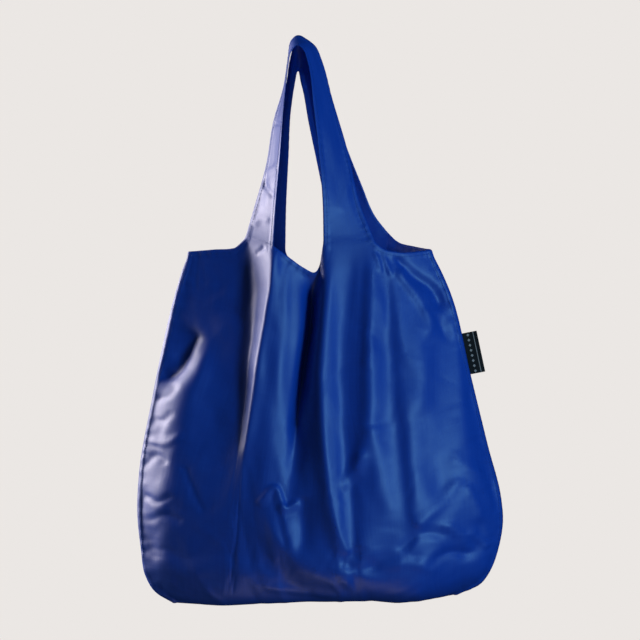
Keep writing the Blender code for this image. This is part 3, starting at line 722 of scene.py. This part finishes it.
def settle_cloth(name, rows, flat, side, left_root):
    """Let the body of a panel settle as real cloth, held at its seams and its top edge."""
    count, columns = rows.shape[:2]
    mesh = bpy.data.meshes.new(name + "_settling")
    faces = faces_between(np.arange(count * columns).reshape(count, columns), side)
    mesh.from_pydata([tuple(p) for p in rows.reshape(-1, 3)], [], faces)
    sheet = bpy.data.objects.new(name + "_settling", mesh)
    bpy.context.collection.objects.link(sheet)
    sheet.shape_key_add(name="hanging")
    cut = sheet.shape_key_add(name="flat_cut")
    across = flat[:, :, 0] * EASE_ACROSS
    along = flat[:, :, 1] * EASE_ALONG
    places = np.stack([across, np.zeros_like(across), along], axis=2)
    cut.data.foreach_set("co", places.astype(np.float32).ravel())
    cut.value = 0.0
    group = sheet.vertex_groups.new(name="held")
    for index, weight in enumerate(hold_weights(count, columns, left_root).ravel()):
        group.add([index], float(weight), "REPLACE")
    cloth = sheet.modifiers.new("settle", "CLOTH")
    for setting, value in NYLON.items():
        setattr(cloth.settings, setting, value)
    cloth.settings.rest_shape_key = cut
    cloth.settings.effector_weights.gravity = GRAVITY_SHARE
    cloth.collision_settings.use_collision = False
    cloth.point_cache.frame_start = 1
    cloth.point_cache.frame_end = SETTLE_FRAMES
    for step in range(1, SETTLE_FRAMES + 1):
        bpy.context.scene.frame_set(step)
    seen = sheet.evaluated_get(bpy.context.evaluated_depsgraph_get()).to_mesh()
    settled = vertex_values(seen, "co").reshape(rows.shape)
    settled = rows + SETTLED_SHARE * (settled - rows)
    moved = np.linalg.norm(settled - rows, axis=2) / MM
    print(name, "settled, moved by up to", moved.max().round(1), "mm, mean", moved.mean().round(2))
    bpy.context.scene.frame_set(1)
    bpy.data.objects.remove(sheet, do_unlink=True)
    return settled


print("the cloth settles for", SETTLE_FRAMES, "frames")

# %% [markdown]
# ## Hems, seams and fine relief
# Each free edge is turned in twice and sewn, which makes a narrow flat band that stands out
# by the thickness of the cloth, with a sewn groove and small puckers along it. The side
# seams pucker more. All of it is pressed into the finished mesh along the cloth's own
# normals, with the distance to the nearest edge as the only measure it needs.

# %% Distances along the edges
EDGE_STEP = 1.5 * MM


def even_path(points, step):
    """The same path with its points an even step apart, and the length run at each."""
    points = np.asarray(points, float)
    run = np.concatenate([[0.0], np.cumsum(np.linalg.norm(np.diff(points, axis=0), axis=1))])
    at = np.linspace(0, run[-1], max(2, int(run[-1] / step) + 1))
    return np.stack([np.interp(at, run, points[:, k]) for k in range(3)], axis=1), at


def nearest_on(path, places):
    """Distance from each place to the path, and how far along the path that is."""
    points, run = even_path(path, EDGE_STEP)
    tree = KDTree(len(points))
    for index, point in enumerate(points):
        tree.insert(point, index)
    tree.balance()
    found = [tree.find(place)[1:] for place in places]
    return np.array([d for _, d in found]), run[[i for i, _ in found]]


def nearest_of(paths, places):
    """The same for the nearest of two paths."""
    first, run = nearest_on(paths[0], places)
    second, second_run = nearest_on(paths[1], places)
    return np.minimum(first, second), np.where(second < first, second_run, run)


print("edges are measured every", round(EDGE_STEP / MM, 1), "mm")

# %% [markdown]
# ## Press the relief in
# Where the strap grows out of the body, the cloth is first relaxed a little, as cloth has no
# corner there. Then everything that is finer than the grid's rows is added along the
# normals. A displacement texture could hold it too, but the stitches need the real surface.

# %% Fine relief
HEM_WIDTH, HEM_STEP, HEM_RISE = 6.5 * MM, 0.8 * MM, 0.55 * MM
STITCH_INSET, STITCH_DIP, GROOVE_HALF = 4.8 * MM, 0.30 * MM, 0.9 * MM
PUCKER_PITCH, PUCKER_HALF, HEM_PUCKER = 8.5 * MM, 4.5 * MM, 0.34 * MM
SEAM_PITCH, SEAM_REACH, SEAM_PUCKER = 1.7 * PUCKER_PITCH, 16.0 * MM, 0.48 * MM
SEAM_RISE, SEAM_EDGE = 0.8 * MM, (5 * MM, 8 * MM)
SEAM_OVER_ROOT, STRAP_BLEND = 12 * MM, 6 * MM
FOLDS_FROM_EDGE = (3 * MM, 14 * MM)
STRAP_FOLDS_FROM_EDGE = (1 * MM, 6 * MM)
ROOT_HEIGHT, ROOT_BLEND, ROOT_PASSES = -0.246, 0.010, 14


def uneven_wave(run, pitch):
    """A ripple between -1 and 1 whose length and height wander, as sewn cloth's do."""
    drift = 0.9 * np.sin(run / pitch * 0.83 + 1.0) + 0.6 * np.sin(run / pitch * 0.31 + 2.0)
    swell = 0.65 + 0.35 * np.sin(run / pitch * 0.57)
    return swell * np.sin(2 * math.pi * run / pitch + 2 * drift)


def relax(mesh, places, weights, passes):
    """Move each vertex part of the way to the middle of its neighbours."""
    pairs = np.zeros(len(mesh.edges) * 2, np.int32)
    mesh.edges.foreach_get("vertices", pairs)
    low, high = pairs.reshape(-1, 2).T
    count = np.bincount(np.concatenate([low, high]), minlength=len(places))[:, None]
    for _ in range(passes):
        total = np.zeros_like(places)
        np.add.at(total, low, places[high])
        np.add.at(total, high, places[low])
        places = places + weights[:, None] * (total / count - places)
    return places


def move_vertices(mesh, places):
    mesh.vertices.foreach_set("co", places.astype(np.float32).ravel())
    mesh.update()


def hem_relief(to_edge, run):
    """The turned hem, its sewn groove and the puckers along the groove."""
    hem = HEM_RISE * (1 - smooth_step(HEM_WIDTH - HEM_STEP, HEM_WIDTH + HEM_STEP, to_edge))
    from_stitch = to_edge - STITCH_INSET
    groove = STITCH_DIP * np.exp(-(from_stitch / GROOVE_HALF) ** 2)
    pucker = HEM_PUCKER * uneven_wave(run, PUCKER_PITCH)
    return hem - groove + pucker * np.exp(-(from_stitch / PUCKER_HALF) ** 2)


def seam_relief(to_seam, run):
    """The doubled cloth of a side seam, and the wide puckers that its thread draws."""
    pucker = (1 + uneven_wave(run, SEAM_PITCH)) * np.exp(-(to_seam / SEAM_REACH) ** 2)
    ridge = SEAM_RISE * (1 - smooth_step(*SEAM_EDGE, to_seam))
    return (SEAM_PUCKER * pucker * smooth_step(0, 4 * MM, to_seam)
            + ridge * smooth_step(0, 3 * MM, to_seam))


def press_relief(mesh, edges, seams, creases, folds):
    """Press creases, hems, puckers and seams into a finished panel."""
    places = vertex_values(mesh, "co")
    to_edge, edge_run = nearest_of(edges, places)
    to_seam, seam_run = nearest_of(seams, places)

    root = np.exp(-((places[:, 2] - ROOT_HEIGHT) / ROOT_BLEND) ** 2)
    places = relax(mesh, places, 0.5 * root * smooth_step(0, 6 * MM, to_edge), ROOT_PASSES)
    move_vertices(mesh, places)
    normals = vertex_values(mesh, "normal")
    x, z = places[:, 0], places[:, 2]

    relief = hem_relief(to_edge, edge_run)
    below = z < ROOT_HEIGHT + SEAM_OVER_ROOT
    relief = relief + np.where(below, seam_relief(to_seam, seam_run), 0.0)
    inside = smooth_step(*FOLDS_FROM_EDGE, np.minimum(to_seam, to_edge))
    drawn = sum(fold.relief(x, z) for fold in folds)
    relief = relief + (drawn + crease_relief(x, z, creases)) * inside
    strap = smooth_step(ROOT_HEIGHT - STRAP_BLEND, ROOT_HEIGHT + STRAP_BLEND, z)
    strap = strap * smooth_step(*STRAP_FOLDS_FROM_EDGE, to_edge)
    relief = relief + strap * sum(fold.relief(x, z) for fold in STRAP_FOLDS.values())
    move_vertices(mesh, places + normals * relief[:, None])


print("hem", round(HEM_WIDTH / MM, 1), "mm wide, stitched", round(STITCH_INSET / MM, 1), "mm in")

# %% [markdown]
# ## Sewing thread
# The stitches are real thread: each is a short rounded bead of blue thread that lies in the
# sewn groove. A texture could not follow the edge so closely. The run is laid at an even
# pitch along the edge, moved in by the stitch's distance, and dropped onto the cloth.

# %% Stitches
STITCH_PITCH, STITCH_LENGTH, THREAD_RADIUS = 2.9 * MM, 2.1 * MM, 0.32 * MM
SEAM_STITCH_INSET = 7.0 * MM
THREAD_LIFT = CLOTH_THICKNESS + 0.4 * THREAD_RADIUS
BEAD_RINGS = ((-0.5, 0.35), (-0.3, 1.0), (0.3, 1.0), (0.5, 0.35))
BEAD_SIDES = 5


def sewn_line(path, inset, shell, offset):
    """Places of the stitches on the cloth, with the way the thread runs and its normal."""
    points, _ = even_path(path, STITCH_PITCH)
    found = []
    for before, here, after in zip(points, points[1:], points[2:]):
        run = Vector(after - before).normalized()
        at, normal, _, _ = shell.find_nearest(Vector(here))
        inwards = normal.cross(run).normalized() * inset
        best = None
        for way in (inwards, -inwards):
            spot, spot_normal, _, _ = shell.find_nearest(at + way)
            miss = (spot - at - way).length
            if best is None or miss < best[0]:
                best = (miss, spot, spot_normal)
        miss, spot, spot_normal = best
        if miss < 0.5 * inset:
            found.append((spot + spot_normal * offset, run, spot_normal))
    return found


def stitch_mesh(name, places):
    """One mesh with a small bead for every stitch."""
    points, faces = [], []
    for spot, run, normal in places:
        side = normal.cross(run).normalized()
        up = run.cross(side).normalized()
        start = len(points)
        for along, wide in BEAD_RINGS:
            for k in range(BEAD_SIDES):
                turn = 2 * math.pi * k / BEAD_SIDES
                out = side * math.cos(turn) + up * math.sin(turn)
                points.append(spot + run * along * STITCH_LENGTH + out * wide * THREAD_RADIUS)
        for ring in range(len(BEAD_RINGS) - 1):
            for k in range(BEAD_SIDES):
                a = start + ring * BEAD_SIDES + k
                b = start + ring * BEAD_SIDES + (k + 1) % BEAD_SIDES
                faces.append((a, b, b + BEAD_SIDES, a + BEAD_SIDES))
        faces.append(tuple(start + k for k in reversed(range(BEAD_SIDES))))
        last = start + (len(BEAD_RINGS) - 1) * BEAD_SIDES
        faces.append(tuple(last + k for k in range(BEAD_SIDES)))
    mesh = bpy.data.meshes.new(name)
    mesh.from_pydata([tuple(p) for p in points], [], faces)
    mesh.shade_smooth()
    thread = bpy.data.objects.new(name, mesh)
    bpy.context.collection.objects.link(thread)
    print(name, len(places), "stitches")
    return thread


def sew(name, mesh, edges, seams):
    """The thread of one panel, along its free edges and down its side seams."""
    surface = BVHTree.FromPolygons([v.co for v in mesh.vertices],
                                   [f.vertices for f in mesh.polygons])
    runs = [(edge, STITCH_INSET) for edge in edges]
    runs += [(seam[FLOOR_ROWS:], SEAM_STITCH_INSET) for seam in seams]
    sewn = []
    for path, inset in runs:
        sewn += sewn_line(path, inset, surface, THREAD_LIFT)
    return stitch_mesh(name, sewn)


print("a stitch every", round(STITCH_PITCH / MM, 1), "mm")

# %% [markdown]
# ## Put a panel together
# The body grid and the handle band share the row of points at the strap's roots, so the
# mesh is one sheet without a join. Subdivision rounds it, the fine relief is pressed in,
# and a Solidify modifier gives the cloth its thickness, outwards from the inner face.

# %% Cloth panels
def panel_sheet(name, side, body, body_flat, band, roots):
    """The body and its handle band as one smooth sheet, laid out on its flat cut."""
    band_flat = flat_places(band)
    band_flat[:, :, 1] += body_flat[-1, 0, 1]
    points = np.concatenate([body.reshape(-1, 3), band[1:-1].reshape(-1, 3)])
    flat = np.concatenate([body_flat.reshape(-1, 2), band_flat[1:-1].reshape(-1, 2)])
    count = body.shape[0] * body.shape[1]
    body_rows = np.arange(count).reshape(body.shape[:2])
    new_rows = np.arange(count, len(points)).reshape(-1, STRAP_COLUMNS + 1)
    left, right = (body_rows[-1, root:root + STRAP_COLUMNS + 1] for root in roots)
    faces = faces_between(body_rows, side)
    faces += faces_between([left, *new_rows, right[::-1]], side)
    panel = smooth_object(name + "_cloth", points, faces, flat)
    rounded = panel.evaluated_get(bpy.context.evaluated_depsgraph_get())
    panel.data = bpy.data.meshes.new_from_object(rounded)
    panel.data.name = panel.name
    panel.modifiers.clear()
    return panel


def sewn_edges(body, band, left_root, right_root):
    """The outer and the inner free edge, and the two side seams, as rows of points."""
    inner_left, outer_right = left_root + STRAP_COLUMNS, right_root + STRAP_COLUMNS
    outside = np.concatenate([body[-1, :left_root + 1], band[1:-1, 0], body[-1, outer_right:]])
    inside = np.concatenate([body[-1, inner_left:right_root + 1], band[1:-1, -1][::-1],
                             body[-1, inner_left][None]])
    return (outside, inside), (body[:, 0], body[:, -1])


def thicken(piece, name, thickness, offset):
    """Give thin cloth its thickness, outwards for an offset of 1 and inwards for -1."""
    shell = piece.modifiers.new(name, "SOLIDIFY")
    shell.thickness = thickness
    shell.offset = offset


def cloth_panel(name, side, top, loops, lines, column_counts, roots, folds, sharp):
    """One panel with its handle loop as a thin shell, and the thread along its edges."""
    stations = np.linspace(0, 1, BAND_ROWS + 1)
    outer, inner = (curve_through(loop, stations) for loop in loops)
    for edge in (outer, inner):
        edge[:, 1] += side * (SEAM_GAP / 2 + SHELL_LIFT)
    body, *roots = body_points(top, outer, inner, side, lines, column_counts, roots, folds)
    band = band_points(outer, inner, side)
    body_flat = flat_places(body)
    body = settle_cloth(name, body, body_flat, side, roots[0])
    panel = panel_sheet(name, side, body, body_flat, band, roots)
    edges, seams = sewn_edges(body, band, *roots)
    press_relief(panel.data, edges, seams, CREASES[name], sharp)
    thread = sew(name.split("_")[0] + "_stitches", panel.data, edges, seams)
    thicken(panel, "cloth_thickness", CLOTH_THICKNESS, 1.0)
    area = sum(face.area for face in panel.data.polygons)
    print(panel.name, len(panel.data.polygons), "faces, cloth area", round(area, 4), "m2")
    return panel, thread


front_cloth, front_thread = cloth_panel(
    "front_panel", -1, FRONT_TOP, (FRONT_LOOP_OUTER, FRONT_LOOP_INNER), FRONT_LINES,
    FRONT_COLUMNS, ("streak_foot", "strap_ridge"), FRONT_FOLDS, FRONT_CREASES)
back_cloth, back_thread = cloth_panel(
    "back_panel", 1, BACK_TOP, (BACK_LOOP_OUTER, BACK_LOOP_INNER), BACK_LINES,
    BACK_COLUMNS, ("strap_foot", "right_root"), BACK_FOLDS, BACK_CREASES)

# %% [markdown]
# ## The woven tab
# A short piece of black tape is folded in half and caught in the right side seam. It is
# one strip that runs out from the seam, turns in a tight round fold and comes back, and it
# hangs with a slight bend. A raised selvage runs along both long edges.

# %% Woven tab
TAB_STEPS_OUT, TAB_STEPS_DOWN, TAB_FOLD_STEPS = 14, 34, 6
TAPE_THICKNESS, TAPE_GAP = 0.45 * MM, 0.9 * MM
TAB_SAG, SELVAGE_RISE = 0.6 * MM, 0.16 * MM
TAB_TUCK = 1.5 * MM
TAPE_WIDE, TAPE_LONG, SELVAGE_SHARE = 16 * MM, 48 * MM, 0.035


def tab_corners():
    """The CAD tab's corners from the front: top and low ones at the seam, then outside."""
    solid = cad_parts["side_tab"]
    seen = {(round(p.x, 5), round(p.z, 5))
            for p in (solid.matrix_world @ v.co for v in solid.data.vertices)}
    rows = sorted(seen, key=lambda place: place[1])
    low_in, low_out = sorted(rows[:2])
    top_in, top_out = sorted(rows[-2:])
    return [np.array(place) for place in (top_in, top_out, low_in, low_out)]


def woven_tab():
    """The folded tape as a thin strip: out from the seam, round the fold and back."""
    out = np.linspace(0, 1, TAB_STEPS_OUT)
    turn = np.linspace(-math.pi / 2, math.pi / 2, TAB_FOLD_STEPS)[1:-1]
    half = TAPE_GAP / 2
    reach = np.concatenate([out, 1 + np.cos(turn) * half / TAPE_WIDE, out[::-1]])
    depth = np.concatenate([np.full(len(out), -half), half * np.sin(turn),
                            np.full(len(out), half)])
    down = np.linspace(0, 1, TAB_STEPS_DOWN)
    top_in, top_out, low_in, low_out = tab_corners()
    top_in = top_in - (TAB_TUCK, 0.0)
    low_in = low_in - (TAB_TUCK, 0.0)
    points, faces, flat = [], [], []
    width = len(reach)
    for v in down:
        inner = top_in + (low_in - top_in) * v
        outer = top_out + (low_out - top_out) * v
        to_edge = (v / SELVAGE_SHARE, (1 - v) / SELVAGE_SHARE)
        selvage = SELVAGE_RISE * sum(math.exp(-away ** 2) for away in to_edge)
        for u, d in zip(reach, depth):
            x, z = inner + (outer - inner) * u
            bend = TAB_SAG * math.sin(math.pi * min(u, 1)) * math.cos(2.2 * v)
            points.append((x, d + math.copysign(selvage, d) + bend, z))
            flat.append((u * TAPE_WIDE, -v * TAPE_LONG))
    for r in range(TAB_STEPS_DOWN - 1):
        for c in range(width - 1):
            a = r * width + c
            faces.append((a, a + width, a + width + 1, a + 1))
    tab = smooth_object("woven_tab", points, faces, flat)
    thicken(tab, "tape_thickness", TAPE_THICKNESS, -1.0)
    print("woven tab", len(faces), "faces; CAD tab", [round(v, 4) for c in TAB_BOX for v in c])
    return tab


tab = woven_tab()

# %% [markdown]
# ## Shader maths as Python
# A material is a formula over the cloth's coordinates. A small class wraps one socket, so
# that sums and products of sockets read as an expression, and one method makes any other
# node. Numbers alone are worked out in Python before they reach a node.

# %% Socket class
class Socket:
    """One value in a node tree, which Python operators can work with."""

    def __init__(self, tree, link=None):
        self.tree = tree
        self.link = link

    def feed(self, value, slot):
        """Link another socket into a slot, or set the slot to a number or a colour."""
        if isinstance(value, Socket):
            self.tree.links.new(value.link, slot)
        else:
            slot.default_value = value

    def node(self, kind, settings=None, slots=None, outlet=0, **inputs):
        """Any node: its type, its settings first, then inputs by number or by name."""
        made = self.tree.nodes.new(kind)
        for key, value in (settings or {}).items():
            setattr(made, key, value)
        for place, value in (slots or {}).items():
            self.feed(value, made.inputs[place])
        for place, value in inputs.items():
            self.feed(value, made.inputs[place.replace("_", " ")])
        return Socket(self.tree, made.outputs[outlet] if made.outputs else None)

    def math(self, operation, *others):
        slots = dict(enumerate((self, *others)))
        return self.node("ShaderNodeMath", {"operation": operation}, slots)

    def __add__(self, other):
        return self.math("ADD", other)

    def __sub__(self, other):
        return self.math("SUBTRACT", other)

    def __rsub__(self, other):
        return -self + other

    def __mul__(self, other):
        return self.math("MULTIPLY", other)

    def __neg__(self):
        return self.math("MULTIPLY", -1.0)

    __radd__ = __add__
    __rmul__ = __mul__

    def wave(self, pitch):
        """A sine from -1 to 1 that repeats every pitch metres."""
        return (self * (2 * math.pi / pitch)).math("SINE")

    def part(self, axis):
        return self.node("ShaderNodeSeparateXYZ", outlet="XYZ".index(axis), Vector=self)

    def noise(self, scale, detail):
        return self.node("ShaderNodeTexNoise", Vector=self, Scale=scale, Detail=detail)

    def mix(self, first, second):
        """Two colours mixed by this value; the Mix node does the maths."""
        slots = {0: self, 6: first, 7: second}
        return self.node("ShaderNodeMix", {"data_type": "RGBA"}, slots, outlet=2)

    def bump(self, strength, distance):
        return self.node("ShaderNodeBump", Height=self, Strength=strength, Distance=distance)


def new_material(name):
    """A material, and a socket from which its nodes are made."""
    material = bpy.data.materials.new(name)
    material.use_nodes = True
    return material, Socket(material.node_tree)


def finish(material, **inputs):
    """Set or link inputs of the material's own shader."""
    shader = material.node_tree.nodes["Principled BSDF"]
    for place, value in inputs.items():
        Socket(material.node_tree).feed(value, shader.inputs[place.replace("_", " ")])


print("shader maths ready")

# %% [markdown]
# ## Nylon taffeta
# The cloth is a plain weave of fine blue nylon with a satin shine. The shine is broad and
# a little paler than the dye, so a rough clear coat lies over a rough base. The weave is
# the product of two ripples, one along each thread direction, with faint long streaks
# where single threads are thicker. The dye varies slightly over the cloth.

# %% Cloth finish
DYE, DYE_DEEP, DYE_WORN = (
    (0.003, 0.068, 0.460, 1.0), (0.002, 0.052, 0.390, 1.0), (0.008, 0.086, 0.500, 1.0))
THREAD_PITCH = 1.6 * MM
WEAVE_HEIGHT = 0.09 * MM


def nylon_finish(name):
    material, root = new_material(name)
    flat = root.node("ShaderNodeUVMap", {"uv_map": "flat_cut"})
    across, along = flat.part("X"), flat.part("Y")
    weave = across.wave(THREAD_PITCH) * along.wave(THREAD_PITCH)
    streaks = root.node("ShaderNodeCombineXYZ", X=across * 420.0, Y=along * 9.0).noise(1.0, 2.0)
    slubs = root.node("ShaderNodeCombineXYZ", X=across * 7.0, Y=along * 380.0).noise(1.0, 2.0)
    cloud = flat.noise(14.0, 4.0)
    handling = flat.noise(55.0, 3.0)

    thread = (streaks - 0.5) * 1.0 + (slubs - 0.5) * 0.6 + weave * 0.08
    dye = cloud.mix(DYE_DEEP, DYE)
    dye = thread.math("MAXIMUM", 0.0).mix(dye, DYE_WORN)
    dye = (-thread).math("MAXIMUM", 0.0).mix(dye, DYE_DEEP)
    rough = 0.48 + (handling - 0.5) * 0.10 + (streaks - 0.5) * 0.08 - weave * 0.02
    height = weave * 0.5 + (streaks - 0.5) * 1.8 + (slubs - 0.5) * 1.0
    finish(material, Base_Color=dye, Roughness=rough, Normal=height.bump(0.55, WEAVE_HEIGHT),
           Specular_IOR_Level=0.9, Coat_Weight=0.3, Coat_Roughness=0.42, Coat_IOR=1.6)
    return material


nylon = nylon_finish("nylon_taffeta")
for piece in (front_cloth, back_cloth):
    piece.data.materials.append(nylon)
print("cloth finish", nylon.name)

# %% [markdown]
# ## Thread and tape
# The sewing thread is the cloth's blue, painted a little paler as painted light, because it stands in
# the light. The tab is black tape with a plain rib. Such tapes carry woven marks in a pale yarn: here
# a thin line and a row of small diamonds, which say nothing.

# %% Thread and tape finishes
# Both thread colours are painted paler than the cloth's dye: painted light, for thread that stands in
# the light.
THREAD_DEEP, THREAD_PALE = (0.010, 0.060, 0.330, 1.0), (0.030, 0.125, 0.520, 1.0)
TAPE_DEEP, TAPE_PALE = (0.012, 0.006, 0.005, 1.0), (0.040, 0.022, 0.019, 1.0)
PALE_YARN = (0.95, 0.60, 0.52, 1.0)
DIAMOND_PITCH, DIAMOND_MIDDLE, DIAMOND_HALF = 6.0 * MM, 6.5 * MM, 1.5 * MM
LINE_PLACE, LINE_HALF = 12.2 * MM, 0.32 * MM
RIB_PITCH, WEFT_PITCH, RIB_HEIGHT = 1.1 * MM, 0.8 * MM, 0.12 * MM


def thread_finish(name):
    material, root = new_material(name)
    fibre = root.node("ShaderNodeTexCoord", outlet=3).noise(900.0, 2.0)
    # The thread's colour is painted paler than the dye, as painted light.
    finish(material, Base_Color=fibre.mix(THREAD_DEEP, THREAD_PALE),
           Roughness=0.45 + fibre * 0.2)
    return material


def tape_finish(name):
    material, root = new_material(name)
    flat = root.node("ShaderNodeUVMap", {"uv_map": "flat_cut"})
    across, along = flat.part("X"), flat.part("Y")
    rib = along.wave(RIB_PITCH)
    weft = across.wave(WEFT_PITCH) * along.wave(RIB_PITCH)
    fluff = flat.noise(700.0, 3.0)
    black = ((rib * 0.25 + weft * 0.15 + fluff) * 0.8).mix(TAPE_DEEP, TAPE_PALE)
    place = (along * (1 / DIAMOND_PITCH)).math("FRACT")
    away = (across - DIAMOND_MIDDLE).math("ABSOLUTE") * (1 / DIAMOND_HALF)
    diamond = (place - 0.5).math("ABSOLUTE") * 3.4 + away
    line = (across - LINE_PLACE).math("ABSOLUTE") * (1 / LINE_HALF)
    pale = diamond.math("MINIMUM", line).math("LESS_THAN", 1.0)
    pale = pale * (0.55 + fluff * 0.5) * (rib * 0.15 + 0.85)
    height = rib * 0.6 + weft * 0.4 + fluff * 0.4
    finish(material, Base_Color=pale.mix(black, PALE_YARN), Roughness=0.62 + fluff * 0.2,
           Normal=height.bump(0.6, RIB_HEIGHT))
    return material


thread_blue = thread_finish("sewing_thread")
for piece in (front_thread, back_thread):
    piece.data.materials.append(thread_blue)
tape_black = tape_finish("black_tape")
tab.data.materials.append(tape_black)
print("thread and tape", thread_blue.name, tape_black.name)

# %% [markdown]
# ## Join the pieces to the frame
# The bag has no joint, so every piece rides the one body. The panels and the tab stand for their
# solids, and the thread goes with the cloth it is sewn into.

# %% Ride and replace
for piece in (front_cloth, back_cloth, front_thread, back_thread, tab):
    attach(piece, "root")
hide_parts("front_panel")
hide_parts("back_panel")
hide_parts("side_tab")

# %% [markdown]
# ## Camera
# The camera looks straight at the front from far enough to flatten the perspective. Its
# place follows from where the hanging point is in the picture, and from the real size of
# one pixel there.

# %% Camera
PIXEL = 1.176 * MM
HOOK_COLUMN, HOOK_ROW = 313, 46
FRAME_SIZE = 640
CAMERA_AWAY = 2.4
SENSOR_WIDTH = 36.0
centre_x = (FRAME_SIZE / 2 - HOOK_COLUMN) * PIXEL
centre_z = (HOOK_ROW - FRAME_SIZE / 2) * PIXEL
camera_data = bpy.data.cameras.new("photo_camera")
camera_data.sensor_width = SENSOR_WIDTH
camera_data.lens = SENSOR_WIDTH * CAMERA_AWAY / (FRAME_SIZE * PIXEL)
camera_data.clip_start = 0.05
camera = bpy.data.objects.new("photo_camera", camera_data)
camera.location = (centre_x, -CAMERA_AWAY, centre_z)
camera.rotation_euler = (math.pi / 2, 0.0, 0.0)
bpy.context.collection.objects.link(camera)
bpy.context.scene.camera = camera
print("camera lens", round(camera_data.lens, 1), "mm")

# %% [markdown]
# ## Light
# A window far round to the left grazes the bag: it only reaches the cloth that is turned
# towards it, which makes the pale strap and streak. A large soft light from the right
# shows the blue, and a smaller one in front of it draws the satin highlights on the ridges.
# A weak one just under the bag lifts its bottom, and the last keeps the back readable.

# %% Lights
MIDDLE = Vector((0.0, 0.0, -0.36))


def soft_light(name, azimuth, height, away, size, watts, colour, shine=True):
    """An area light. Its azimuth is in degrees to the left of the camera's direction."""
    data = bpy.data.lights.new(name, "AREA")
    data.shape = "RECTANGLE"
    data.size, data.size_y = size
    data.energy = watts
    data.color = colour
    turn = math.radians(azimuth)
    place = Vector((-away * math.sin(turn), -away * math.cos(turn), MIDDLE.z + height))
    light = bpy.data.objects.new(name, data)
    light.location = place
    light.rotation_euler = (MIDDLE - place).to_track_quat("-Z", "Y").to_euler()
    light.visible_glossy = shine
    light.visible_camera = False
    bpy.context.collection.objects.link(light)
    return light


soft_light("left_window", 109, 0.60, 2.4, (0.9, 1.7), 74.0, (1.0, 0.91, 0.94))
soft_light("right_key", -50, 0.9, 2.3, (1.0, 1.3), 19.0, (0.26, 0.74, 1.0), shine=False)
soft_light("right_satin", -42, 0.05, 2.3, (0.36, 0.6), 13.5, (0.23, 0.62, 1.0))
soft_light("low_glow", 5, -0.74, 0.30, (0.5, 0.12), 0.22, (1.0, 0.91, 0.94))
soft_light("back_fill", 170, 0.9, 2.6, (1.6, 1.6), 22.0, (0.9, 0.95, 1.0), shine=False)

# %% [markdown]
# ## Backdrop
# The camera sees an even pale backdrop, while the cloth gets only a little light from it.
# A Light Path node tells the two apart.

# %% World
SEEN_BACKDROP = (0.831, 0.799, 0.776, 1.0)
DIM_BACKDROP, DIM_STRENGTH = (0.70, 0.85, 1.0, 1.0), 0.07
world = bpy.data.worlds.new("studio")
bpy.context.scene.world = world
world.use_nodes = True
world.cycles_visibility.glossy = False
world.node_tree.nodes.clear()
sky = Socket(world.node_tree)
seen = sky.node("ShaderNodeBackground", Color=SEEN_BACKDROP)
dim = sky.node("ShaderNodeBackground", Color=DIM_BACKDROP, Strength=DIM_STRENGTH)
camera_ray = sky.node("ShaderNodeLightPath")
mixed = sky.node("ShaderNodeMixShader", slots={0: camera_ray, 1: dim, 2: seen})
sky.node("ShaderNodeOutputWorld", Surface=mixed)
bpy.context.scene.view_settings.view_transform = "Standard"
bpy.context.scene.view_settings.look = "None"
print("backdrop ready")

# %% [markdown]
# ## Floor
# The bag hangs clear of the floor, which is a plain pale disc below the picture.

# %% Floor
FLOOR_DROP, DISC_RADIUS = 0.5, 1.2
floor_mesh = bpy.data.meshes.new("studio_floor")
bm = bmesh.new()
bmesh.ops.create_circle(bm, cap_ends=True, segments=96, radius=DISC_RADIUS)
bm.to_mesh(floor_mesh)
bm.free()
floor = bpy.data.objects.new("studio_floor", floor_mesh)
floor.location = (0.0, 0.0, CAD_BOX[0][2] - FLOOR_DROP)
bpy.context.collection.objects.link(floor)
paper, _ = new_material("pale_paper")
finish(paper, Base_Color=(0.8, 0.78, 0.76, 1.0), Roughness=0.9)
floor_mesh.materials.append(paper)
floor.visible_glossy = floor.visible_diffuse = False
print("floor at", round(floor.location.z, 3))
